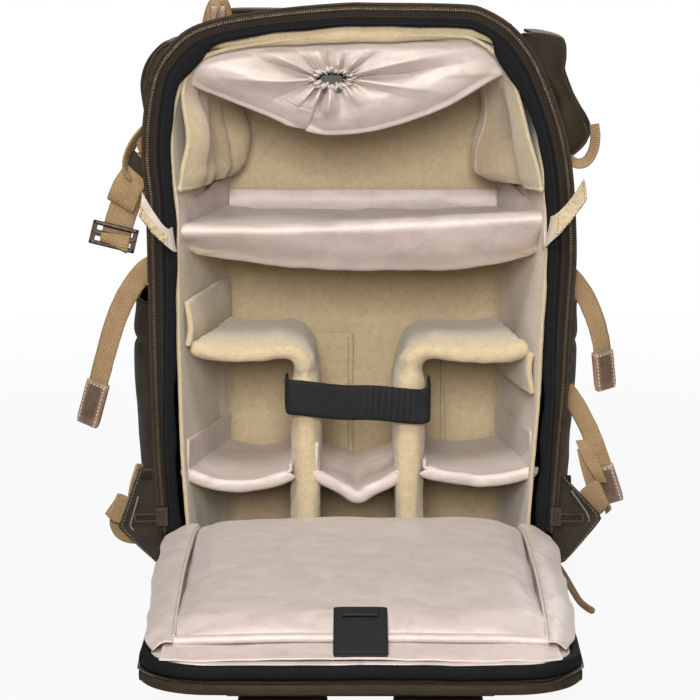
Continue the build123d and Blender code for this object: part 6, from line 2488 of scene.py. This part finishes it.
@dataclass
class Wings:
    """Anchors of dark ribbed canvas low on both sides, with folded webbing sewn into their outer edges."""

    root_top: float = 92.0
    root_foot: float = 18.0
    root: float = 143.0
    plane: float = -84.0
    outlines: tuple[tuple[tuple[float, float], ...], ...] = (
        ((148.0, 21.0), (163.0, 34.5), (177.4, 49.0), (173.5, 59.5), (170.0, 69.0), (165.5, 82.0),
         (161.0, 94.0)),
        ((152.6, 23.0), (166.0, 39.0), (178.8, 55.0), (176.5, 60.0), (166.0, 71.0), (156.0, 81.5),
         (147.5, 91.0)))

    def wing(self, side: int) -> None:
        """One anchor, slightly cupped, with its stitches and bar tack."""
        name = side_name(side)
        outer = resample(np.array(self.outlines[0 if side < 0 else 1], float), 46)
        rows, cols = 46, 30
        grid = np.zeros((rows, cols, 3))
        for i, s in enumerate(np.linspace(0, 1, rows)):
            start_z = self.root_foot + s * (self.root_top - self.root_foot)
            for j, t in enumerate(np.linspace(0, 1, cols)):
                cup = 2.6 * math.sin(math.pi * t) * math.sin(math.pi * s)
                grid[i, j] = (side * (self.root + t * (outer[i, 0] - self.root)), self.plane + cup - 1.0 * t,
                              start_z + t * (outer[i, 1] - start_z))
        grid[..., 1] += wrinkle(grid, 20, 3.0) * 1.0
        made = slab(f"strap_wing_{name}_canvas", grid, 2.2, 0)
        displace(made, 0.3, 9.0, 2.0)
        settle(made, WING)
        if side < 0:
            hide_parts("strap_wings")
        border = np.concatenate([grid[2, 4:-3], grid[2:-2, -3]])
        stitch(f"strap_wing_{name}_stitch", resample(border, 80) + np.array([0, -1.3, 0]), (0, -1, 0),
               GREY_THREAD,
               row=FINE_STITCH_ROW)
        first, last = (18, 34) if side < 0 else (20, 36)
        tack = tube(f"strap_wing_{name}_bar_tack",
                    resample(grid[first:last, -8], 20) + np.array([0, -1.5, 0]), 1.4,
                    sides=8)
        settle(tack, GREY_THREAD)
        self.webbing(side)

    def leaf(self, name: str, edges: Sequence[Sequence[Point]], bow: float,
             finish: Finish = TAN_WEB) -> bpy.types.Object:
        """A flat run of webbing through a row of crosswise edges.

        Args:
            name: Name of the piece.
            edges: Pairs of end points, one pair for each place along the webbing.
            bow: How far it bellies towards the front between the pairs.
            finish: Its finish.

        Returns:
            The piece, dressed.
        """
        sides = [smooth_line([edge[k] for edge in edges], 40) for k in (0, 1)]
        grid = np.stack([sides[0] + (sides[1] - sides[0]) * t for t in np.linspace(0, 1, 12)], axis=0)
        grid[..., 1] -= bow * np.sin(math.pi * np.linspace(0, 1, 40))[None, :]
        made = slab(name, grid, 1.7, 0)
        return settle(made, finish)

    def webbing(self, side: int) -> None:
        """The webbing sewn into the wing's edge and folded back on itself."""
        y = self.plane
        if side < 0:
            fold = self.leaf("wing_webbing_left_fold", (
                ((-168, y + 1.5, 70), (-174, y + 1.5, 51)), ((-173, y - 0.5, 73), (-181, y - 1.0, 53)),
                ((-177, y - 1.8, 74.5), (-186.5, y - 2.0, 59)), ((-174, y + 2.5, 72), (-184, y + 3.0, 56)),
                ((-168, y + 5, 69), (-178, y + 6, 52))), 0.8)
            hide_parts("wing_webbing")
            self.leaf("wing_webbing_left_loop", (
                ((-183, y + 5, 59), (-176, y + 5, 57)), ((-184.5, y + 5, 50), (-174, y + 6, 49)),
                ((-180, y + 6, 40.5), (-170, y + 6, 44)), ((-171, y + 7, 35.5), (-163, y + 7, 43)),
                ((-160, y + 8, 35), (-155, y + 8, 42))), 1.0)
            self.leaf("wing_webbing_left_riser", (
                ((-165, y + 9, 66), (-171, y + 6, 68)), ((-163, y + 10, 80), (-168.5, y + 6, 81)),
                ((-160, y + 11, 94), (-164, y + 7, 95))), 0.5)
            patch = soft_box("left_wing_patch", (-162.5, y - 1.6, 84.5), (-152.5, y + 0.6, 92.0), 0.6,
                             (0, 0.2, 0), 2.5)
            settle(patch, FACING)
        else:
            self.leaf("wing_webbing_right_fold", (
                ((162, y + 1.5, 74), (178, y + 1.5, 58)), ((166, y - 1.5, 79), (181.5, y - 1.5, 62)),
                ((174, y - 3.0, 84.5), (184, y - 2.5, 66)), ((178.5, y - 0.5, 80), (185.5, y - 0.5, 62)),
                ((181, y + 3.0, 72), (183, y + 3.5, 58))), 0.9)
            self.leaf("wing_webbing_right_riser", (
                ((168, y + 6, 78), (177, y + 6, 74)), ((164, y + 7, 92), (173, y + 7, 89)),
                ((161, y + 8, 106), (168, y + 8, 106))), 0.8)
            self.leaf("wing_webbing_right_tail", (
                ((160, y + 9, 112), (168, y + 9, 113)), ((165, y + 6, 100), (174, y + 5, 102)),
                ((171, y + 3, 90), (179, y + 1, 92)), ((176, y + 3, 82), (183, y + 1, 82))), 0.8)

    def build(self) -> None:
        """Make both anchors."""
        for side in (-1, 1):
            self.wing(side)


@dataclass
class SidePockets:
    """Bellows pockets on both side walls, gathered at the top by a hem."""

    foot: float = 9.0
    top: float = 210.0
    span: float = 67.0
    bulges: tuple[float, float] = (15.5, 9.5)
    cloth: float = 1.8

    def pocket(self, side: int) -> None:
        """One pocket, pinched by a seam below its mouth."""
        name = side_name(side)
        rows, cols = 74, 60
        grid = np.zeros((rows, cols, 3))
        for i, z in enumerate(np.linspace(self.foot, self.top, rows)):
            full = ease((z - self.foot) / 26) * (1 - 0.10 * ease((z - 188) / 20))
            full *= 1 - 0.20 * math.exp(-((z - 180.5) / 4.0) ** 2)
            full *= 1 + 0.06 * math.sin(z / 21.0)
            for j, t in enumerate(np.linspace(-1, 1, cols)):
                y = t * self.span
                wall = FORM.half_width(max(z, 32.0), side, float(np.clip(y, -88, 88)))
                bow = (1 - abs(t) ** 2.6) * self.bulges[0 if side < 0 else 1] * full
                grid[i, j] = (side * (wall + 0.9 + bow), y, z)
        grid[..., 0] += side * wrinkle(grid, 26, 4.0
                                       + side) * 1.1 * ease((self.span - np.abs(grid[..., 1])) / 12)
        made = slab(f"side_pocket_{name}_canvas", grid, self.cloth, -side)
        settle(made, CANVAS, f"side_pocket_{name}")
        rim = grid[-1] + np.array([side * 0.4, 0, 0.6])
        hem = sweep(f"side_pocket_{name}_hem", resample(rim, 70), round_section(3.4, 5.0, 12, 2.6), (1, 0, 0),
                    (0, 0, 1))
        settle(hem, BOOT)
        for height in (-5, -7):
            index = rows - 1 + int(height / 2.7)
            line = resample(grid[index], 60) + np.array([side * 1.3, 0, 0])
            stitch(f"side_pocket_{name}_stitch_{abs(height)}", line, (side, 0, 0), BROWN_THREAD)
        pinch = next(i for i in range(rows) if grid[i, 0, 2] > 180.5)
        line = resample(grid[pinch], 70) + np.array([side * 0.9, 0, 0])
        seam = tube(f"side_pocket_{name}_seam", line, 1.6, sides=8)
        settle(seam, BOOT)
        patch_low = 86.0 if side < 0 else 84.0
        wall = FORM.half_width(90, side, -60.0)
        patch = soft_box(f"side_pocket_{name}_patch", (side * (wall + 5.2) - 5.5, -67.0, patch_low - 12),
                         (side * (wall + 5.2) + 5.5, -63.5, patch_low), 0.8, (0, 0.2, 0), 3.0)
        settle(patch, FACING)

    def build(self) -> None:
        """Make both pockets."""
        for side in (-1, 1):
            self.pocket(side)


@dataclass
class RollTop:
    """The rolled canvas closure on the roof, its folded-down ends, strap and haul handle."""

    near: float = 14.0
    far: float = 62.0

    def roof(self, depth: float) -> float:
        """Height of the roof's middle at a depth."""
        return float(FORM.ring(depth)[:, 1].max())

    def roll(self) -> None:
        """The rolled layers, seen as a spiral at their ends."""
        turns = np.linspace(0, 2.35 * 2 * math.pi, 90)
        centre_y = (self.near + self.far) / 2
        base = self.roof(centre_y) + 6.2
        spiral = []
        for turn in turns:
            grow = 0.34 + 0.66 * turn / turns[-1]
            spiral.append((centre_y + 23.0 * grow * math.cos(turn), base + 5.6 * grow * math.sin(turn)))
        spiral = np.array(spiral)
        places = np.linspace(-1, 1, 60)
        grid = np.zeros((len(places), len(spiral), 3))
        for i, place in enumerate(places):
            grid[i, :, 0] = 8.0 + place * 108.0
            grid[i, :, 1] = spiral[:, 0]
            slump = 1.6 * abs(place) ** 3 + 11.0 * ease((place - 0.66) / 0.34)
            grid[i, :, 2] = spiral[:, 1] - slump - 0.0 * place
        grid[..., 2] += wrinkle(grid, 36, 2.0) * 1.0
        grid[..., 1] += wrinkle(grid, 50, 5.0) * 1.2
        made = slab("roll_top_canvas", grid, 1.6, 0)
        settle(made, CANVAS, "roll_top")

    def end(self, side: int, profile: Sequence[tuple[float, float]], name: str) -> None:
        """One end of the roll, folded down over the shoulder as a soft hollow wedge."""
        line = smooth_line(profile, 70)
        deep = 44
        grid = np.zeros((70, deep, 3))
        for i, (x, z) in enumerate(line):
            wall = FORM.half_width(min(z, 372.0), side, -60.0)
            for j, t in enumerate(np.linspace(0, 1, deep)):
                y = -72.0 + 80.0 * t
                share = math.sin(math.pi * min(1.0, max(0.0, t)) ** 0.8)
                out = x - 3.0 + 3.5 * share
                tuck = ease((t - 0.82) / 0.18)
                grid[i, j] = (side * (out * (1 - tuck) + min(out, wall + 1.5) * tuck), y, z)
        grid[..., 0] += side * (wrinkle(grid, 24, 4.0 + side) * 1.8 + wrinkle(grid, 60, 1.0) * 1.4)
        made = slab(f"roll_end_{name}_outer", grid, 2.0, -side)
        settle(made, CANVAS, f"roll_end_{name}")
        front = np.zeros((70, 24, 3))
        for i, (x, z) in enumerate(line):
            reach = np.abs(grid[i, 0, 0])
            inner = 118.0 + 26.0 * ease((400 - z) / 40)
            for j, t in enumerate(np.linspace(0, 1, 24)):
                bow = 3.2 * math.sin(math.pi * t) + 5.0 * math.exp(-((z - 345) / 14) ** 2) * t * (1 - t) * 2
                front[i, j] = (side * (reach * (1 - t) + min(inner, reach) * t),
                               -72.0 - bow * (0.5 + 0.5 * t), z)
        front[..., 1] += wrinkle(front, 20, 8.0) * 1.4
        front[..., 1] = np.minimum(front[..., 1], -70.0)
        made = slab(f"roll_end_{name}_front", front, 2.0, 0)
        settle(made, CANVAS)
        edge = resample(grid[:, 0], 70) + np.array([0.0, -0.8, 0.0])
        piping = tube(f"roll_end_{name}_edge", edge, 2.6, sides=8)
        settle(piping, CANVAS)
        seam = resample(front[:, 14], 60) + np.array([0, -1.4, 0])
        stitch(f"roll_end_{name}_stitch", seam, (0, -1, 0), DARK_THREAD, row=FINE_STITCH_ROW)

    def strap(self) -> None:
        """The strap that holds the roll down over the far side, with its hook plate."""
        near, far = self.near, self.far
        top = self.roof(38.0) + 13.8
        points = [(0, near + 1, self.roof(near) + 2.5), (0, near - 1.5, self.roof(near) + 7),
                  (0, near + 6, top - 1.5),
                  (0, near + 22, top), (0, far - 10, top - 2.0), (0, far + 1, top - 8.5),
                  (0, far + 10, self.roof(far + 10) + 2.2), (0, 84, self.roof(84) + 2.4),
                  (0, 91.6, self.roof(88) - 3.0),
                  (0, 92.6, self.roof(88) - 20), (0, 92.6, 350), (0, 92.8, 306)]
        line = smooth_line(points, 150)
        along = tangents(line)
        facing = unit(np.cross(np.array([1.0, 0.0, 0.0]), along))
        made = band("roll_strap_webbing", line, 25.0, 1.7, facing)
        settle(made, TAN_WEB, "roll_strap")
        plate = soft_box("roll_strap_plate", (-17, 91.6, 336), (17, 94.8, 360), 1.4, (0, 0.4, 0), 3.0)
        settle(plate, LEATHER)

    def handle(self) -> None:
        """The padded haul handle behind the roll."""
        low, high = box_mm("haul_handle")
        middle = (low[1] + high[1]) / 2
        points = [(-54, middle, low[2] + 0.6), (-46, middle, low[2] + 4.5), (-28, middle, high[2] - 4.0),
                  (0, middle, high[2] - 1.6), (28, middle, high[2] - 4.0), (46, middle, low[2] + 4.5),
                  (54, middle, low[2] + 0.6)]
        line = smooth_line(points, 90)
        along = tangents(line)
        facing = unit(np.cross(along, np.array([0.0, 1.0, 0.0])))
        made = band("haul_handle_webbing", line, 20.0, 2.0, -facing)
        settle(made, TAN_WEB, "haul_handle")
        grip = line[24:66]
        up = unit(np.cross(np.array([0.0, 1.0, 0.0]), tangents(grip)))
        wrap = sweep("haul_handle_leather", grip, round_section(22.0, 4.6, 20, 2.8), (0, 1, 0), up)
        settle(wrap, LEATHER)
        for side in (-1, 1):
            row = grip + up * 2.4 + np.array([0, side * 8.0, 0])
            stitch(f"haul_handle_stitch_{'far' if side > 0 else 'near'}", row, (0, 0, 1), CREAM_THREAD)

    def build(self) -> None:
        """Make the closure."""
        self.roll()
        right = [(126, 411), (140, 410), (150.5, 406), (151.5, 396), (151.5, 384), (156, 371), (161, 360),
                 (166, 350), (169.5, 341), (168.5, 334), (162, 326), (154, 320)]
        left = [(131, 406), (142, 404), (150, 397), (156, 386), (158.8, 375), (158.5, 362), (156.5, 346),
                (154.5, 332), (153.5, 322)]
        self.end(1, right, "right")
        self.end(-1, left, "left")
        self.strap()
        self.handle()


@dataclass
class FrontPocket:
    """The padded pocket on the far face, with its zip and flap."""

    half: float = 112.0

    def build(self) -> None:
        """Make the pocket."""
        low, high = box_mm("front_pocket")

        def slump(points: Array) -> Array:
            """Lean the top back and let the foot belly out."""
            height = (points[:, 2] - low[2]) / (high[2] - low[2])
            out = (points[:, 1] - low[1]) / (high[1] - low[1])
            points[:, 1] -= out * (14.0 * ease((height - 0.82) / 0.18) + 9.0 * ease((0.08 - height) / 0.08))
            points[:, 0] *= 1 - 0.02 * ease((height - 0.8) / 0.2)
            return points

        pad = soft_box("front_pocket_canvas", (-self.half, low[1] - 0.5, low[2]),
                       (self.half, high[1] - 2.5, high[2] - 3),
                       14.0, (0, 2.0, 0), 5.0, slump)
        inflate(pad, 3.0, 6.0, 2.0)
        displace(pad, 1.6, 60.0, 2.0)
        displace(pad, 0.7, 22.0, 4.0)
        settle(pad, CANVAS, "front_pocket")
        line = np.array([(-100.0, low[1] + 5, high[2] - 4.0), (0, low[1] + 5, high[2] - 2.2),
                         (100.0, low[1] + 5, high[2] - 4.0)])
        path = smooth_line(line, 90)
        tape = band("front_pocket_zip_tape", path, 14.0, 1.2, (0, 0.25, 1))
        settle(tape, FACING)
        teeth = TEETH_ROW.along("front_pocket_teeth", path + np.array([0, 0, 1.2]), (0, 0.25, 1), TEETH)
        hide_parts("front_pocket_zip")
        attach(teeth, BODY)
        flap = []
        for s in np.linspace(0, 1, 24):
            row = np.zeros((70, 3))
            row[:, 0] = np.linspace(-108, 108, 70) * (1 - 0.06 * s**3)
            row[:, 1] = low[1] - 0.8 + 12.5 * math.sin(min(1.0, s * 1.5) * math.pi / 2) + 7.5 * s
            row[:, 2] = high[2] + 8 - 2.0 * s - 34.0 * s**1.6
            flap.append(row)
        grid = np.array(flap)
        grid[..., 1] += wrinkle(grid, 40, 3.0) * 0.8
        made = slab("front_pocket_flap", grid, 2.2, 0)
        settle(made, CANVAS)
        for inset in (2, 3):
            row = resample(grid[-inset - 1], 80) + np.array([0, 1.5, 0])
            stitch(f"front_pocket_flap_stitch_{inset}", row, (0, 1, 0.3), CREAM_THREAD)
        piping_points = [(-106, high[1] - 4, 150), (-106.5, high[1] - 4.5, 60), (-100, high[1] - 5, 44),
                         (-84, high[1] - 3.4, 40), (84, high[1] - 3.4, 40), (100, high[1] - 5, 44),
                         (106.5, high[1] - 4.5, 60), (106, high[1] - 4, 150), (105, high[1] - 5, 262)]
        piping = tube("front_pocket_piping", smooth_line([(-105, high[1] - 5, 262)] + piping_points, 220),
                      3.0)
        settle(piping, BOOT)


@dataclass
class ZipSliders:
    """The two zip sliders and their wire pulls, which keep their own shapes."""

    def build(self) -> None:
        """Dress the sliders and pulls."""
        for name in ("zip_slider_left", "zip_slider_right", "zip_pull_left", "zip_pull_right"):
            redress(name, ZIP_METAL)


@dataclass
class Harness:
    """What lies under the open panel: mesh back pads, shoulder straps, yoke and webbing."""

    panel_edge: float = -470.5

    def pads(self) -> None:
        """The two back pads with their channels."""
        low, high = box_mm("back_pads")
        gap = 13.0
        for side in (-1, 1):
            name = side_name(side)
            a, b = sorted((side * gap, side * high[0]))

            def channel(points: Array, centre: float = (a + b) / 2) -> Array:
                """Press two cross channels into the pad."""
                depth = ease((20 - points[:, 2]) / 8)
                for place in (0.34, 0.67):
                    y = low[1] + place * (high[1] - low[1])
                    points[:, 2] += depth * 3.4 * np.exp(-((points[:, 1] - y) / 5.0) ** 2)
                points[:, 0] = centre + (points[:, 0] - centre) * (1 - 0.05 * ease((points[:, 1] - high[1]
                                                                                    + 60) / 60))
                return points

            pad = soft_box(f"back_pad_{name}", (a + 1, low[1] + 1, low[2] + 1),
                           (b - 1, high[1] - 1, high[2] + 2), 6.0,
                           (0.6, 0.6, 0), 4.5, channel)
            inflate(pad, 2.0, 5.0, 1.0)
            settle(pad, PAD_MESH, body=PANEL)
            if side < 0:
                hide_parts("back_pads")

    def straps(self) -> None:
        """The shoulder straps, their webbing and the yoke above them."""
        low, high = box_mm("shoulder_straps")
        for side in (-1, 1):
            name = side_name(side)
            a, b = sorted((side * 18.0, side * 80.0))

            def curve(points: Array, centre: float = (a + b) / 2, lead: int = side) -> Array:
                """Narrow the strap towards its lower end and bow it."""
                share = (points[:, 1] - low[1]) / (high[1] - low[1])
                points[:, 0] = centre + (points[:, 0] - centre) * (1 - 0.24 * share)
                points[:, 0] += lead * 2.0 * np.sin(math.pi * np.clip(share, 0, 1))
                return points

            strap = soft_box(f"shoulder_strap_{name}", (a + 2, low[1] + 1, low[2] + 0.4),
                             (b - 2, high[1] - 1, high[2] - 0.2),
                             4.5, (0, 0, 0), 4.5, curve)
            settle(strap, CANVAS, body=PANEL)
            if side < 0:
                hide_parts("shoulder_straps")
        yoke_low, yoke_high = box_mm("harness_yoke")
        def tuck(points: Array) -> Array:
            """Lift the yoke's underside towards the panel's edge."""
            points[:, 2] = np.maximum(points[:, 2], 25.6 - (points[:, 1] - self.panel_edge) * 0.25)
            return points

        yoke = soft_box("harness_yoke_canvas", yoke_low + 0.8, yoke_high - 0.8, 4.0, (0, 0.3, 0.0), 4.0, tuck)
        settle(yoke, CANVAS, "harness_yoke", body=PANEL)
        redress("strap_webbing", TAN_WEB)

    def build(self) -> None:
        """Make the harness."""
        self.pads()
        self.straps()


@dataclass
class PullerCord:
    """The short tan cord at the foot of the right-hand zip, lying on the floor."""

    diameter: float = 5.0
    length: float = 0.0732
    route: tuple[Point, ...] = ((144, -91.4, 25), (149, -106, 20), (156, -122, 9), (161, -140, 3.2),
                                (167, -156, 3.0))

    def build(self) -> None:
        """Make the cord as a smooth curve."""
        data = bpy.data.curves.new("tan_puller_cord", "CURVE")
        data.dimensions = "3D"
        data.bevel_depth = self.diameter / 2 * MM
        data.bevel_resolution = 5
        data.resolution_u = 16
        data.use_fill_caps = True
        spline = data.splines.new("NURBS")
        spline.points.add(len(self.route) - 1)
        for point, place in zip(spline.points, self.route):
            point.co = (*(c * MM for c in place), 1.0)
        spline.order_u = 3
        spline.use_endpoint_u = True
        cord = bpy.data.objects.new("tan_puller_cord", data)
        bpy.context.scene.collection.objects.link(cord)
        data.materials.append(TAN_CORD.material())
        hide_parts("puller_cord")
        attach(cord, BODY)


# ------------------------------------------------------------------ run
def main() -> None:
    """Dress the bag, in the order camera, cord, body, inside, panel, outside."""
    logging.basicConfig(level=logging.INFO, format="%(name)s %(message)s")
    Studio().build()
    PullerCord().build()
    Shell().build()
    Rim().build()
    Lining().build()
    DrawstringCollar().build()
    Interior().build()
    RearPanel().build()
    SideHardware().build()
    Wings().build()
    SidePockets().build()
    RollTop().build()
    FrontPocket().build()
    ZipSliders().build()
    Harness().build()


if __name__ == "__main__":
    main()
